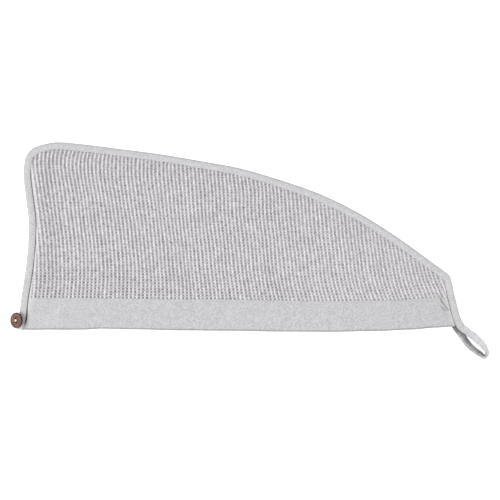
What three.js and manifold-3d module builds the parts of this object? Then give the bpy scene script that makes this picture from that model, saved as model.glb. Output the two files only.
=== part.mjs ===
// A waffle-weave hair towel lying flat, button corner at the left and loop corner at the right.
// Two layers of cloth are bound together on three sides and stay open along the hem, where the
// head goes in. Millimetres, +Z up, X along the hem, Y from the hem towards the long curved edge.

import * as THREE from 'three';
import { mergeVertices } from 'three/addons/utils/BufferGeometryUtils.js';
import Module from 'manifold-3d';

// Thicknesses of the cloth
const WAFFLE_WALL = 2.2;
const BAND_WALL = 1.8;
const SEWN_WALL = 1.2;
const TAPE_WALL = 0.8;
const CLEARANCE = 0.3;

// The binding: its width on the flat, and the stretch beside it where the cloth is still pressed
const BINDING_WIDTH = 9.4;
const PRESSED_MARGIN = 4.6;
const PRESSED = BINDING_WIDTH + PRESSED_MARGIN;

// How far the upper layer stands off the lower one, and over what distance it gets there
const LOFT = 9;
const LOFT_REACH = { left: 26, crown: 30, right: 24 };
const FLOOR_REACH = 16;

// The roll of cloth along the left binding
const ROLL_HEIGHT = 2.6;
const ROLL_REACH = 6;

// Rounded corners of the outline
const CROWN_CORNER = { across: 32.2, height: 221.1, radius: 27 };
const CROWN_CORNER_START = 180;
const CROWN_CORNER_END = 100;
const CORNER_STEPS = 4;
const END_CORNER = { across: 576.6, height: 72.6, radius: 10.5 };
const END_CORNER_STEPS = 3;

// Outer edge of the binding, from the button corner up the left side
const LEFT_EDGE = [
  { across: -2.0, height: 0.5 },
  { across: 0.0, height: 24 },
  { across: 1.5, height: 43 },
  { across: 5.2, height: 67 },
  { across: 9.3, height: 99 },
  { across: 12.1, height: 142 },
  { across: 10.9, height: 163 },
  { across: 8.2, height: 182 },
  { across: 4.7, height: 208 },
];

// The long curved edge, from the crown corner down to the short right end
const CROWN_EDGE = [
  { across: 48, height: 251.6 },
  { across: 80, height: 249.3 },
  { across: 134, height: 242.6 },
  { across: 188, height: 235.6 },
  { across: 241, height: 226.6 },
  { across: 295, height: 216.6 },
  { across: 348, height: 201.2 },
  { across: 402, height: 182.2 },
  { across: 456, height: 155.6 },
  { across: 509, height: 122.0 },
  { across: 552, height: 90.8 },
];

// The short right end, down to where the tape turns off into the loop
const RIGHT_END = [
  { across: 582.6, height: 46.0 },
  { across: 587.9, height: 25.0 },
  { across: 592.0, height: 9.5 },
];

// Lower edge of the hem band, and the line where the band meets the waffle
const HEM = [
  { across: -3, height: 0.4 },
  { across: 60, height: 0.2 },
  { across: 108, height: 1.1 },
  { across: 160, height: 0.0 },
  { across: 230, height: -1.2 },
  { across: 340, height: -2.3 },
  { across: 420, height: -2.5 },
  { across: 480, height: -1.5 },
  { across: 522, height: 0.2 },
  { across: 560, height: 2.6 },
  { across: 579.5, height: 4.2 },
  { across: 583.5, height: 7.8 },
  { across: 590, height: 9.3 },
];
const BAND_TOP = [
  { across: -3, height: 43.8 },
  { across: 60, height: 43.4 },
  { across: 240, height: 41.5 },
  { across: 425, height: 39.2 },
  { across: 500, height: 40.2 },
  { across: 569, height: 44.2 },
  { across: 590, height: 46.0 },
];

// Soft ripples that run up from the hem, and shallow dents in the upper layer
const RIPPLES = [
  { across: 50, spread: 17, rise: 0.9 },
  { across: 117, spread: 15, rise: 1.0 },
  { across: 192, spread: 20, rise: 0.5 },
  { across: 300, spread: 26, rise: 0.6 },
  { across: 436, spread: 28, rise: 0.5 },
];
const RIPPLE_FADE = 95;
const DENTS = [
  { across: 252, height: 193, spread: 13, depth: 1.6 },
  { across: 74, height: 222, spread: 20, depth: 1.2 },
  { across: 150, height: 212, spread: 24, depth: 0.8 },
  { across: 365, height: 120, spread: 30, depth: 0.7 },
];

// The loop: centre line of the tape out along the far side, round the tip and back.
// Roll is how far the tape's outer edge is turned up, in degrees.
const LOOP_WIDTH = 8;
const LOOP_WALL = 1.8;
const LOOP_ROUTE = [
  { across: 587.6, height: 7.8, roll: 0, lift: 1.5 },
  { across: 588.9, height: 4.4, roll: 0, lift: 1.2 },
  { across: 592.8, height: 1.4, roll: 2, lift: 0.7 },
  { across: 598.4, height: -1.9, roll: 5, lift: 0.3 },
  { across: 605.0, height: -6.4, roll: 12, lift: 0 },
  { across: 611.7, height: -11.8, roll: 24, lift: 0 },
  { across: 617.8, height: -18.0, roll: 38, lift: 0 },
  { across: 622.2, height: -24.2, roll: 52, lift: 0 },
  { across: 624.6, height: -30.0, roll: 62, lift: 0 },
  { across: 624.2, height: -34.4, roll: 66, lift: 0 },
  { across: 620.8, height: -35.5, roll: 62, lift: 0 },
  { across: 615.0, height: -32.4, roll: 58, lift: 0 },
  { across: 607.2, height: -27.2, roll: 52, lift: 0 },
  { across: 599.8, height: -20.4, roll: 47, lift: 0 },
  { across: 593.2, height: -12.0, roll: 47, lift: 0 },
  { across: 587.4, height: -3.8, roll: 60, lift: 0 },
  { across: 583.6, height: 2.3, roll: 76, lift: 0 },
];
const LOOP_STEPS = 44;

// The button, its place, and the thread that holds it to the corner
const BUTTON = { radius: 10.25, thickness: 3.2, rim: 2.2, recess: 0.6, edge: 0.8 };
const BUTTON_PLACE = { across: -5.7, height: 13.1, tilt: 47 };
const BUTTON_SIDES = 36;
const HOLE_RADIUS = 1.15;
const HOLE_OFFSET = 2.6;
const HOLE_SIDES = 16;
const THREAD_RADIUS = 0.65;
const SHANK_RADIUS = 1.1;
const THREAD_SIDES = 10;
const THREAD_CAP_STEPS = 3;
const SHANK_FOOT_HEIGHT = 13.1;

// How finely each piece of cloth is divided
const PANEL_CELLS = { along: 40, across: 14 };
const BACK_CELLS = { along: 30, across: 10 };
const BAND_CELLS = { along: 40, across: 3 };

// The upper layer is a nearly level middle and margins that rise to it from the binding. They
// meet at these cells, with the clearance between them, on a layer of about this size.
const PANEL_CUTS = { left: 9, tip: 26, crown: 8 };
const BAND_CUTS = { left: 9, right: 31 };
const LAYER_LENGTH = 570;
const LAYER_DEPTH = 130;

// How finely the binding is divided
const BINDING_STATIONS = 84;
const FLAP_STEPS = 1;
const FOLD_STEPS = 6;

// Levels of the layers inside the binding
const LOWER_LEVEL = TAPE_WALL + CLEARANCE;
const UPPER_LEVEL = LOWER_LEVEL + SEWN_WALL + CLEARANCE;
const BINDING_HEIGHT = UPPER_LEVEL + SEWN_WALL + CLEARANCE + TAPE_WALL;
const FOLD_RADIUS = BINDING_HEIGHT / 2;
const SEWN_INSET = FOLD_RADIUS;

const { clamp, degToRad, lerp, smoothstep } = THREE.MathUtils;

// A short table of places read as a smooth height over the distance across
function tableCurve(table) {
  return (across) => {
    const last = table.length - 1;
    let row = 0;
    while (row < last - 1 && across > table[row + 1].across) {
      row += 1;
    }
    const start = table[row];
    const end = table[row + 1];
    return lerp(start.height, end.height, smoothstep(across, start.across, end.across));
  };
}

// Points of a true arc, angles in degrees
function arcPoints(corner, from, to, steps) {
  const points = [];
  for (let step = 0; step <= steps; step += 1) {
    const angle = degToRad(lerp(from, to, step / steps));
    const across = corner.across + corner.radius * Math.cos(angle);
    const height = corner.height + corner.radius * Math.sin(angle);
    points.push({ across, height });
  }
  return points;
}

// Points of the arc that rounds a corner between two neighbouring places
function roundedCorner(before, corner, after, steps) {
  const vertex = new THREE.Vector2(corner.across, corner.height);
  const back = new THREE.Vector2(before.across, before.height).sub(vertex).normalize();
  const onward = new THREE.Vector2(after.across, after.height).sub(vertex).normalize();
  const half = Math.acos(clamp(back.dot(onward), -1, 1)) / 2;
  const middle = back.clone().add(onward).normalize();
  const centre = vertex.clone().addScaledVector(middle, corner.radius / Math.sin(half));
  const tangent = corner.radius / Math.tan(half);
  const startSpoke = vertex.clone().addScaledVector(back, tangent).sub(centre);
  const endSpoke = vertex.clone().addScaledVector(onward, tangent).sub(centre);
  const round = { across: centre.x, height: centre.y, radius: corner.radius };
  const from = THREE.MathUtils.radToDeg(startSpoke.angle());
  let to = THREE.MathUtils.radToDeg(endSpoke.angle());
  if (to > from + 180) {
    to -= 360;
  }
  return arcPoints(round, from, to, steps);
}

// The whole bound outline as one curve: up the left, round the crown corner, along and down
const outline = new THREE.CatmullRomCurve3(
  [
    ...LEFT_EDGE,
    ...arcPoints(CROWN_CORNER, CROWN_CORNER_START, CROWN_CORNER_END, CORNER_STEPS),
    ...CROWN_EDGE,
    ...roundedCorner(CROWN_EDGE[CROWN_EDGE.length - 1], END_CORNER, RIGHT_END[0], END_CORNER_STEPS),
    ...RIGHT_END,
  ].map((place) => new THREE.Vector3(place.across, place.height, 0)),
  false,
  'centripetal',
);
outline.arcLengthDivisions = 900;

// A point of the outline, moved inwards
function edgePoint(share, inset) {
  const point = outline.getPointAt(share);
  const tangent = outline.getTangentAt(share);
  return new THREE.Vector3(point.x + inset * tangent.y, point.y - inset * tangent.x, 0);
}

// The share of the outline nearest a place
function shareNear(place) {
  const target = new THREE.Vector3(place.across, place.height, 0);
  const samples = 2000;
  let best = 0;
  let nearest = Infinity;
  for (let sample = 0; sample <= samples; sample += 1) {
    const distance = outline.getPointAt(sample / samples).distanceTo(target);
    if (distance < nearest) {
      nearest = distance;
      best = sample / samples;
    }
  }
  return best;
}

// The share between two others where the inset outline crosses a line over the hem
function shareAtLine(line, low, high, inset) {
  let below = low;
  let above = high;
  for (let step = 0; step < 30; step += 1) {
    const middle = (below + above) / 2;
    const point = edgePoint(middle, inset);
    if (point.y < line(point.x)) {
      below = middle;
    } else {
      above = middle;
    }
  }
  return (below + above) / 2;
}

const hemLine = tableCurve(HEM);
const bandTopLine = tableCurve(BAND_TOP);
const waffleStartLine = (across) => bandTopLine(across) + CLEARANCE;

const crownCornerMiddle = arcPoints(CROWN_CORNER, CROWN_CORNER_START, CROWN_CORNER_END, 2)[1];
const crownShare = shareNear(crownCornerMiddle);
const endShare = shareNear(END_CORNER);

// Stretches of the outline as plain point lists, for measuring how far a place lies inside
function stretch(from, to, count) {
  return Array.from({ length: count + 1 }, (_, i) => outline.getPointAt(lerp(from, to, i / count)));
}
const leftStretch = stretch(0, crownShare, 60);
const crownStretch = stretch(crownShare, endShare, 140);
const rightStretch = stretch(endShare, 1, 30);

function distanceTo(points, across, height) {
  const place = new THREE.Vector3(across, height, 0);
  const line = new THREE.Line3();
  const foot = new THREE.Vector3();
  let nearest = Infinity;
  for (let i = 1; i < points.length; i += 1) {
    line.set(points[i - 1], points[i]);
    line.closestPointToPoint(place, true, foot);
    nearest = Math.min(nearest, foot.distanceTo(place));
  }
  return nearest;
}

// How far the upper layer is lifted over a place: nothing at the bound edges, LOFT well inside
function liftAt(across, height) {
  const fromLeft = distanceTo(leftStretch, across, height) - PRESSED;
  const fromCrown = distanceTo(crownStretch, across, height) - PRESSED;
  const fromRight = distanceTo(rightStretch, across, height) - PRESSED;
  if (Math.min(fromLeft, fromCrown, fromRight) <= 0) {
    return 0;
  }
  const open = (1 - Math.exp(-fromLeft / LOFT_REACH.left))
    * (1 - Math.exp(-fromCrown / LOFT_REACH.crown))
    * (1 - Math.exp(-fromRight / LOFT_REACH.right));
  const rollPlace = fromLeft / ROLL_REACH;
  const roll = ROLL_HEIGHT * rollPlace * Math.exp(1 - rollPlace) * smoothstep(fromCrown, 0, 20);
  let folds = 0;
  for (const ripple of RIPPLES) {
    const side = (across - ripple.across) / ripple.spread;
    folds += ripple.rise * Math.exp(-side * side) * Math.exp(-Math.max(height, 0) / RIPPLE_FADE);
  }
  for (const dent of DENTS) {
    const reach = Math.hypot(across - dent.across, height - dent.height) / dent.spread;
    folds -= dent.depth * Math.exp(-reach * reach);
  }
  return Math.max(LOFT * open + roll + folds * open, 0);
}

// How far a place is from the pressed edge, from 0 at the binding to 1 on free cloth
function freeCloth(across, height, reach) {
  const inside = Math.min(
    distanceTo(leftStretch, across, height),
    distanceTo(crownStretch, across, height),
    distanceTo(rightStretch, across, height),
  );
  return smoothstep(inside, PRESSED, PRESSED + reach);
}

// A wall of cloth: a thin block of cells whose corners are placed by a function of the shares
// along, across and through the cloth, each from 0 to 1
function cloth(cells, place) {
  const geometry = new THREE.BoxGeometry(1, 1, 1, cells.along, cells.across, 1);
  const corners = geometry.attributes.position;
  for (let i = 0; i < corners.count; i += 1) {
    const point = place(corners.getX(i) + 0.5, corners.getY(i) + 0.5, corners.getZ(i) + 0.5);
    corners.setXYZ(i, point.x, point.y, point.z);
  }
  return geometry;
}

// A four-sided patch in plan, blended between its lower, upper, left and right edges
function planPatch(lower, upper, left, right) {
  const nearLeft = left(0);
  const nearRight = right(0);
  const farLeft = left(1);
  const farRight = right(1);
  return (along, across) => {
    const sum = lower(along).multiplyScalar(1 - across);
    sum.addScaledVector(upper(along), across);
    sum.addScaledVector(left(across), 1 - along);
    sum.addScaledVector(right(across), along);
    sum.addScaledVector(nearLeft, -(1 - along) * (1 - across));
    sum.addScaledVector(nearRight, -along * (1 - across));
    sum.addScaledVector(farLeft, -(1 - along) * across);
    sum.addScaledVector(farRight, -along * across);
    return sum;
  };
}

// Cells are closer together near the bound ends and the bound long edge
function closerAtEnds(share) {
  return share - 0.76 * Math.sin(2 * Math.PI * share) / (2 * Math.PI);
}
function closerAtTop(share) {
  return 1 - (1 - share) ** 1.5;
}
const evenRows = (share) => share;

// A run of the cells that divide a layer, and the share of the layer that each part of it is at.
// A run that ends inside the layer stops half the clearance short.
function cellRun(count, spacing, from, to, size) {
  const gap = CLEARANCE / 2 / size;
  const start = from > 0 ? spacing(from / count) + gap : 0;
  const end = to < count ? spacing(to / count) - gap : 1;
  return {
    cells: to - from,
    shareAt: (part) => clamp(spacing(lerp(from, to, part) / count), start, end),
  };
}

// The cells of a layer between two cuts each way
function gridPart(cells, rowSpacing, alongCuts, acrossCuts) {
  return {
    along: cellRun(cells.along, closerAtEnds, ...alongCuts, LAYER_LENGTH),
    across: cellRun(cells.across, rowSpacing, ...acrossCuts, LAYER_DEPTH),
  };
}

function wholeGrid(cells, rowSpacing) {
  return gridPart(cells, rowSpacing, [0, cells.along], [0, cells.across]);
}

// The point of a line over the hem, at a share of the way between two places
function alongLine(line, start, end) {
  return (share) => {
    const across = lerp(start.x, end.x, share);
    return new THREE.Vector3(across, line(across), 0);
  };
}

const waffleLeftShare = shareAtLine(waffleStartLine, 0, crownShare, SEWN_INSET);
const waffleRightShare = shareAtLine(waffleStartLine, 1, endShare, SEWN_INSET);
const bandLeftShare = shareAtLine(bandTopLine, 0, crownShare, SEWN_INSET);
const bandRightShare = shareAtLine(bandTopLine, 1, endShare, SEWN_INSET);

function sewnEdge(from, to) {
  return (share) => edgePoint(lerp(from, to, share), SEWN_INSET);
}

const wafflePlan = planPatch(
  alongLine(
    waffleStartLine,
    edgePoint(waffleLeftShare, SEWN_INSET),
    edgePoint(waffleRightShare, SEWN_INSET),
  ),
  sewnEdge(crownShare, endShare),
  sewnEdge(waffleLeftShare, crownShare),
  sewnEdge(waffleRightShare, endShare),
);

const bandPlan = planPatch(
  alongLine(hemLine, edgePoint(0, SEWN_INSET), edgePoint(1, SEWN_INSET)),
  alongLine(
    bandTopLine,
    edgePoint(bandLeftShare, SEWN_INSET),
    edgePoint(bandRightShare, SEWN_INSET),
  ),
  sewnEdge(0, bandLeftShare),
  sewnEdge(1, bandRightShare),
);

// The upper and lower layers over any plan
function upperLayer(plan, grid, wall) {
  const cells = { along: grid.along.cells, across: grid.across.cells };
  return cloth(cells, (along, across, through) => {
    const place = plan(grid.along.shareAt(along), grid.across.shareAt(across));
    const thickness = lerp(SEWN_WALL, wall, freeCloth(place.x, place.y, ROLL_REACH));
    place.z = UPPER_LEVEL + liftAt(place.x, place.y) + through * thickness;
    return place;
  });
}

function lowerLayer(plan, grid, wall) {
  const cells = { along: grid.along.cells, across: grid.across.cells };
  return cloth(cells, (along, across, through) => {
    const place = plan(grid.along.shareAt(along), grid.across.shareAt(across));
    const thickness = lerp(SEWN_WALL, wall, freeCloth(place.x, place.y, FLOOR_REACH));
    const level = LOWER_LEVEL * (1 - freeCloth(place.x, place.y, FLOOR_REACH));
    place.z = level + through * thickness;
    return place;
  });
}

// The binding tape: lower flap, fold and upper flap, swept along the outline
function bindingGeometry() {
  const acrossSteps = 2 * FLAP_STEPS + FOLD_STEPS;
  const middleRadius = FOLD_RADIUS - TAPE_WALL / 2;
  return cloth({ along: BINDING_STATIONS, across: acrossSteps }, (along, across, through) => {
    const step = across * acrossSteps;
    const outward = (0.5 - through) * TAPE_WALL;
    let inset = FOLD_RADIUS;
    let level = FOLD_RADIUS;
    if (step < FLAP_STEPS) {
      inset = lerp(BINDING_WIDTH, FOLD_RADIUS, step / FLAP_STEPS);
      level -= middleRadius + outward;
    } else if (step > FLAP_STEPS + FOLD_STEPS) {
      inset = lerp(FOLD_RADIUS, BINDING_WIDTH, (step - FLAP_STEPS - FOLD_STEPS) / FLAP_STEPS);
      level += middleRadius + outward;
    } else {
      const angle = Math.PI * (step - FLAP_STEPS) / FOLD_STEPS;
      inset -= (middleRadius + outward) * Math.sin(angle);
      level -= (middleRadius + outward) * Math.cos(angle);
    }
    const place = edgePoint(along, inset);
    place.z = level;
    return place;
  });
}

// The loop's tape: flat where it leaves the binding, turned up on edge round the tip
function loopGeometry() {
  const route = new THREE.CatmullRomCurve3(
    LOOP_ROUTE.map((row) => new THREE.Vector3(row.across, row.height, 0)),
    false,
    'centripetal',
  );
  return cloth({ along: LOOP_STEPS, across: 1 }, (along, across, through) => {
    const knot = route.getUtoTmapping(along);
    const centre = route.getPoint(knot);
    const tangent = route.getTangent(knot);
    const stand = rowAt(LOOP_ROUTE, knot);
    const roll = degToRad(stand.roll);
    const outwards = new THREE.Vector3(-tangent.y, tangent.x, 0);
    const widthway = outwards.clone().multiplyScalar(Math.cos(roll));
    widthway.z = Math.sin(roll);
    const inwards = outwards.clone().multiplyScalar(-Math.sin(roll));
    inwards.z = Math.cos(roll);
    centre.z = LOOP_WIDTH / 2 * Math.sin(roll) + LOOP_WALL / 2 * Math.cos(roll) + stand.lift;
    centre.addScaledVector(widthway, (across - 0.5) * LOOP_WIDTH);
    centre.addScaledVector(inwards, (through - 0.5) * LOOP_WALL);
    return centre;
  });
}

// Roll and lift between two rows of a table that is read at a share of its length
function rowAt(table, share) {
  const place = share * (table.length - 1);
  const row = Math.min(Math.floor(place), table.length - 2);
  const part = place - row;
  return {
    roll: lerp(table[row].roll, table[row + 1].roll, part),
    lift: lerp(table[row].lift, table[row + 1].lift, part),
  };
}

// Joining and cutting of closed meshes
const wasm = await Module();
wasm.setup();

function solidFrom(geometry) {
  const bare = geometry.clone();
  bare.deleteAttribute('normal');
  bare.deleteAttribute('uv');
  const merged = mergeVertices(bare, 1e-4);
  return new wasm.Manifold(new wasm.Mesh({
    numProp: 3,
    vertProperties: new Float32Array(merged.attributes.position.array),
    triVerts: new Uint32Array(merged.index.array),
  }));
}

function geometryFrom(solid) {
  const mesh = solid.getMesh();
  const geometry = new THREE.BufferGeometry();
  geometry.setAttribute('position', new THREE.BufferAttribute(mesh.vertProperties, 3));
  geometry.setIndex(new THREE.BufferAttribute(mesh.triVerts, 1));
  return geometry;
}

// The button: a turned disc with a raised rim and two thread holes through it, face along +Z
function buttonGeometry() {
  const { radius, thickness, rim, recess, edge } = BUTTON;
  const profile = [
    new THREE.Vector2(0, 0),
    new THREE.Vector2(radius - edge, 0),
    new THREE.Vector2(radius, edge),
    new THREE.Vector2(radius, thickness - edge),
    new THREE.Vector2(radius - edge, thickness),
    new THREE.Vector2(radius - rim, thickness),
    new THREE.Vector2(radius - rim - recess, thickness - recess),
    new THREE.Vector2(0, thickness - recess),
  ];
  const disc = new THREE.LatheGeometry(profile, BUTTON_SIDES);
  disc.rotateX(Math.PI / 2);
  let solid = solidFrom(disc);
  for (const side of [-1, 1]) {
    const drill = new THREE.CylinderGeometry(HOLE_RADIUS, HOLE_RADIUS, 4 * thickness, HOLE_SIDES);
    drill.rotateX(Math.PI / 2);
    drill.translate(0, side * HOLE_OFFSET, 0);
    solid = solid.subtract(solidFrom(drill));
  }
  return geometryFrom(solid);
}

// A round-ended length of thread between two points
function threadRun(start, end, radius) {
  const run = end.clone().sub(start);
  const geometry = new THREE.CapsuleGeometry(radius, run.length(), THREAD_CAP_STEPS, THREAD_SIDES);
  const turn = new THREE.Quaternion().setFromUnitVectors(
    new THREE.Vector3(0, 1, 0),
    run.clone().normalize(),
  );
  geometry.applyQuaternion(turn);
  const middle = start.clone().add(end).multiplyScalar(0.5);
  geometry.translate(middle.x, middle.y, middle.z);
  return solidFrom(geometry);
}

// The thread: across the face, down through both holes, and a wound shank to the corner
function threadGeometry(foot) {
  const face = BUTTON.thickness - BUTTON.recess + CLEARANCE + THREAD_RADIUS;
  const back = -CLEARANCE - THREAD_RADIUS;
  const corner = (side, level) => new THREE.Vector3(0, side * HOLE_OFFSET, level);
  const knot = new THREE.Vector3(0, 0, -CLEARANCE - SHANK_RADIUS);
  return geometryFrom(
    threadRun(corner(-1, face), corner(1, face), THREAD_RADIUS)
      .add(threadRun(corner(-1, face), corner(-1, back), THREAD_RADIUS))
      .add(threadRun(corner(1, face), corner(1, back), THREAD_RADIUS))
      .add(threadRun(corner(-1, back), corner(1, back), THREAD_RADIUS))
      .add(threadRun(knot, foot, SHANK_RADIUS)),
  );
}

function finish(color, roughness) {
  return new THREE.MeshStandardMaterial({ color, roughness, metalness: 0 });
}

function namedMesh(name, geometry, material) {
  const mesh = new THREE.Mesh(geometry, material);
  mesh.name = name;
  return mesh;
}

const towel = new THREE.Group();

const panelParts = {
  front_panel_left: [[0, PANEL_CUTS.left], [0, PANEL_CELLS.across]],
  front_panel_middle: [[PANEL_CUTS.left, PANEL_CUTS.tip], [0, PANEL_CUTS.crown]],
  front_panel_crown: [[PANEL_CUTS.left, PANEL_CUTS.tip], [PANEL_CUTS.crown, PANEL_CELLS.across]],
  front_panel_tip: [[PANEL_CUTS.tip, PANEL_CELLS.along], [0, PANEL_CELLS.across]],
};
for (const [name, cuts] of Object.entries(panelParts)) {
  const grid = gridPart(PANEL_CELLS, closerAtTop, ...cuts);
  towel.add(namedMesh(name, upperLayer(wafflePlan, grid, WAFFLE_WALL), finish(0xc4c3c6, 0.95)));
}

const bandParts = {
  front_band_left: [0, BAND_CUTS.left],
  front_band_middle: [BAND_CUTS.left, BAND_CUTS.right],
  front_band_right: [BAND_CUTS.right, BAND_CELLS.along],
};
for (const [name, cuts] of Object.entries(bandParts)) {
  const grid = gridPart(BAND_CELLS, evenRows, cuts, [0, BAND_CELLS.across]);
  towel.add(namedMesh(name, upperLayer(bandPlan, grid, BAND_WALL), finish(0xcfced1, 0.9)));
}

towel.add(
  namedMesh(
    'back_waffle_panel',
    lowerLayer(wafflePlan, wholeGrid(BACK_CELLS, closerAtTop), WAFFLE_WALL),
    finish(0xc4c3c6, 0.95),
  ),
  namedMesh(
    'back_hem_band',
    lowerLayer(bandPlan, wholeGrid(BAND_CELLS, evenRows), BAND_WALL),
    finish(0xcfced1, 0.9),
  ),
  namedMesh('edge_binding', bindingGeometry(), finish(0xcecdd0, 0.9)),
  namedMesh('closing_loop', loopGeometry(), finish(0xcecdd0, 0.9)),
);

// The button leans on its lower rim, with its thread tied to the fold of the binding
const fastening = new THREE.Group();
const tilt = degToRad(BUTTON_PLACE.tilt);
const backLevel = Math.max(
  (BUTTON.radius - BUTTON.edge) * Math.sin(tilt),
  BUTTON.radius * Math.sin(tilt) - BUTTON.edge * Math.cos(tilt),
);
fastening.position.set(
  BUTTON_PLACE.across + BUTTON.thickness * Math.sin(tilt),
  BUTTON_PLACE.height,
  backLevel,
);
fastening.rotation.y = -tilt;
fastening.updateMatrixWorld();
const foldFace = outline.getPointAt(shareNear({ across: 0, height: SHANK_FOOT_HEIGHT }));
const shankFoot = fastening.worldToLocal(
  new THREE.Vector3(foldFace.x - CLEARANCE - SHANK_RADIUS, foldFace.y, FOLD_RADIUS),
);
fastening.add(
  namedMesh('button', buttonGeometry(), finish(0x7d5f55, 0.6)),
  namedMesh('button_thread', threadGeometry(shankFoot), finish(0xf2f0ee, 0.8)),
);
towel.add(fastening);

// The origin is under the middle of the whole footprint, on the surface that the towel lies on
towel.updateMatrixWorld(true);
const box = new THREE.Box3().setFromObject(towel, true);
const middle = box.getCenter(new THREE.Vector3());
towel.position.set(-middle.x, -middle.y, -box.min.z);

export default towel;
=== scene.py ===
"""Looks of the hair towel: two layers of waffle cloth bound with tape, a button and a loop.

Shapes are worked out in a drawing frame in millimetres: X along the hem from the button corner,
Y up from the hem, Z up from the surface that the towel lies on. Meshes are made in metres.
"""
import math

import bmesh
import bpy
import numpy as np
from mathutils import Matrix, Vector


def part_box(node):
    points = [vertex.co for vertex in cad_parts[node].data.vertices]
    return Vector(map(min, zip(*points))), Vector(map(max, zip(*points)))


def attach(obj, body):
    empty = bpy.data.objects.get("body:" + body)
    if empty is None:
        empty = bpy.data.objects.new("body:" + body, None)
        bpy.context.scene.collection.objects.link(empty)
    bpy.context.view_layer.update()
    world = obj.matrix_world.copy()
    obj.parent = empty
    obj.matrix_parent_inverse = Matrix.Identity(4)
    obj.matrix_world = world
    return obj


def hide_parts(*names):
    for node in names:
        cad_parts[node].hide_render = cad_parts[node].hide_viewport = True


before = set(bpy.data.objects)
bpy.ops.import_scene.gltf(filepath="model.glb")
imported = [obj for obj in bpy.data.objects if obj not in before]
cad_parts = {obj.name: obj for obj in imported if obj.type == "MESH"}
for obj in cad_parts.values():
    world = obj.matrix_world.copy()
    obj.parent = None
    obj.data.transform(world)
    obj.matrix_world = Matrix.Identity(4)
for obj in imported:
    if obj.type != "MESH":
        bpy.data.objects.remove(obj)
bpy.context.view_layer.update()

MM = 0.001

# The drawing's origin in the row frame, from the left and top sides of the CAD binding
BINDING_LEFT = -2.0
BINDING_TOP = 251.69
binding_low, binding_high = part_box("edge_binding")
ORIGIN = np.array([binding_low.x - BINDING_LEFT * MM, binding_high.y - BINDING_TOP * MM, 0.0])

# Level of the upper layer inside the binding, walls, and the binding's fold and width
UPPER_LEVEL = 2.6
SEWN_WALL = 1.2
WAFFLE_WALL = 2.2
BAND_WALL = 1.8
TAPE_WALL = 0.8
FOLD_RADIUS = 2.45
BINDING_WIDTH = 9.4

# Gaps between the layers in the binding, and between the lowest cloth and the floor
LAYER_GAP = 0.3
FLOOR_GAP = 0.02

# How far past the binding the lower layer comes down to the floor
FLOOR_REACH = 16

# Where the panels end inside the binding's fold
SEWN_INSET = 4.2

# Weave of the waffle: distance between ribs, between rows, and the samples for each
RIB_PITCH = 5.36
ROW_PITCH = 3.95
RIB_SAMPLES = 4
ROW_SAMPLES = 3
ROW_STEP = ROW_PITCH / ROW_SAMPLES

# The woven grid, which is cut to the outline: its left side, length and depth, and the rows of
# it that are tucked under the band's upper edge
GRID_START = -4
GRID_LENGTH = 600
GRID_DEPTH = 216
TUCKED_ROWS = 1

# The first full row's height over the band's edge, the upper panel's wall where it is tucked in,
# and the two sides of the lower one there
FIRST_ROW_RISE = 0.3
TUCKED_WALL = 0.75
TUCKED_LEVELS = (0.5, 1.3)

# Height of the weave in mm over one rib's samples, on a cross bar and in the pits between bars
BAR_HEIGHTS = np.array([-0.12, -0.46, -0.62, -0.46])
PIT_HEIGHTS = np.array([0.12, -0.60, -1.25, -0.60])

# Outline of the binding, in drawing millimetres (across, height)
LEFT_EDGE = [
    (-4.8, 1.0), (-4.2, 5.0), (-3.2, 9.0), (-1.7, 16.0), (-0.4, 26.0), (1.4, 43.0), (5.2, 67.0),
    (9.3, 99.0), (11.6, 142.0), (9.6, 163.0), (7.0, 182.0), (4.4, 208.0),
]
CROWN_CORNER = {"centre": (32.2, 221.1), "radius": 27.0, "from": 180, "to": 100}
CROWN_EDGE = [
    (48.0, 251.6), (80.0, 249.3), (134.0, 242.6), (188.0, 235.6), (241.0, 226.6), (295.0, 216.6),
    (348.0, 201.2), (402.0, 182.2), (456.0, 155.6), (509.0, 122.0), (552.0, 90.8),
]
END_CORNER = {"vertex": (576.6, 72.6), "radius": 10.5}
RIGHT_END = [(582.6, 46.0), (587.9, 25.0), (592.0, 9.5)]

# Hem of the band and the line where it meets the waffle, and the band's usual height
HEM = [
    (-6, 0.4), (19, 0.0), (40, 0.3), (60, 0.2), (84, 0.3), (108, 1.6), (160, 0.6), (215, -0.7),
    (281, -1.2), (348, -2.3), (415, -2.6), (482, -1.4), (522, 0.3), (557, 2.9), (579.5, 4.2),
    (583.5, 5.2), (590, 6.5),
]
BAND_TOP = [
    (-6, 43.8), (60, 43.4), (240, 41.5), (425, 39.2), (500, 40.2), (569, 44.2), (590, 46.0),
]
BAND_HEIGHT = 43.0

# Loft of the upper layer over the lower one: how high it stands, where its rise starts past the
# outline and how far it reaches, and the roll of cloth along the left binding
LOFT = 9.0
LIFT_START = 10.3
LOFT_REACH = {"left": 28.0, "crown": 32.0, "right": 26.0}
ROLL_HEIGHT = 2.9
ROLL_REACH = 5.0

# Ripples that run up from the hem (across, spread, rise) and dents (across, height, spread, depth)
RIPPLES = [(50, 17, 0.9), (117, 15, 1.0), (192, 20, 0.5), (300, 26, 0.6), (436, 28, 0.5)]
RIPPLE_FADE = 95.0
DENTS = [(252, 193, 13, 1.6), (74, 222, 20, 1.2), (150, 212, 24, 0.8), (365, 120, 30, 0.7)]

# Width of the slot between the left binding and the rolled cloth beside it, by height
SLOT_WIDTH = [(0, 0.4), (5, 1.2), (12, 2.0), (22, 1.6), (34, 1.0), (60, 0.8), (250, 0.6)]

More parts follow.
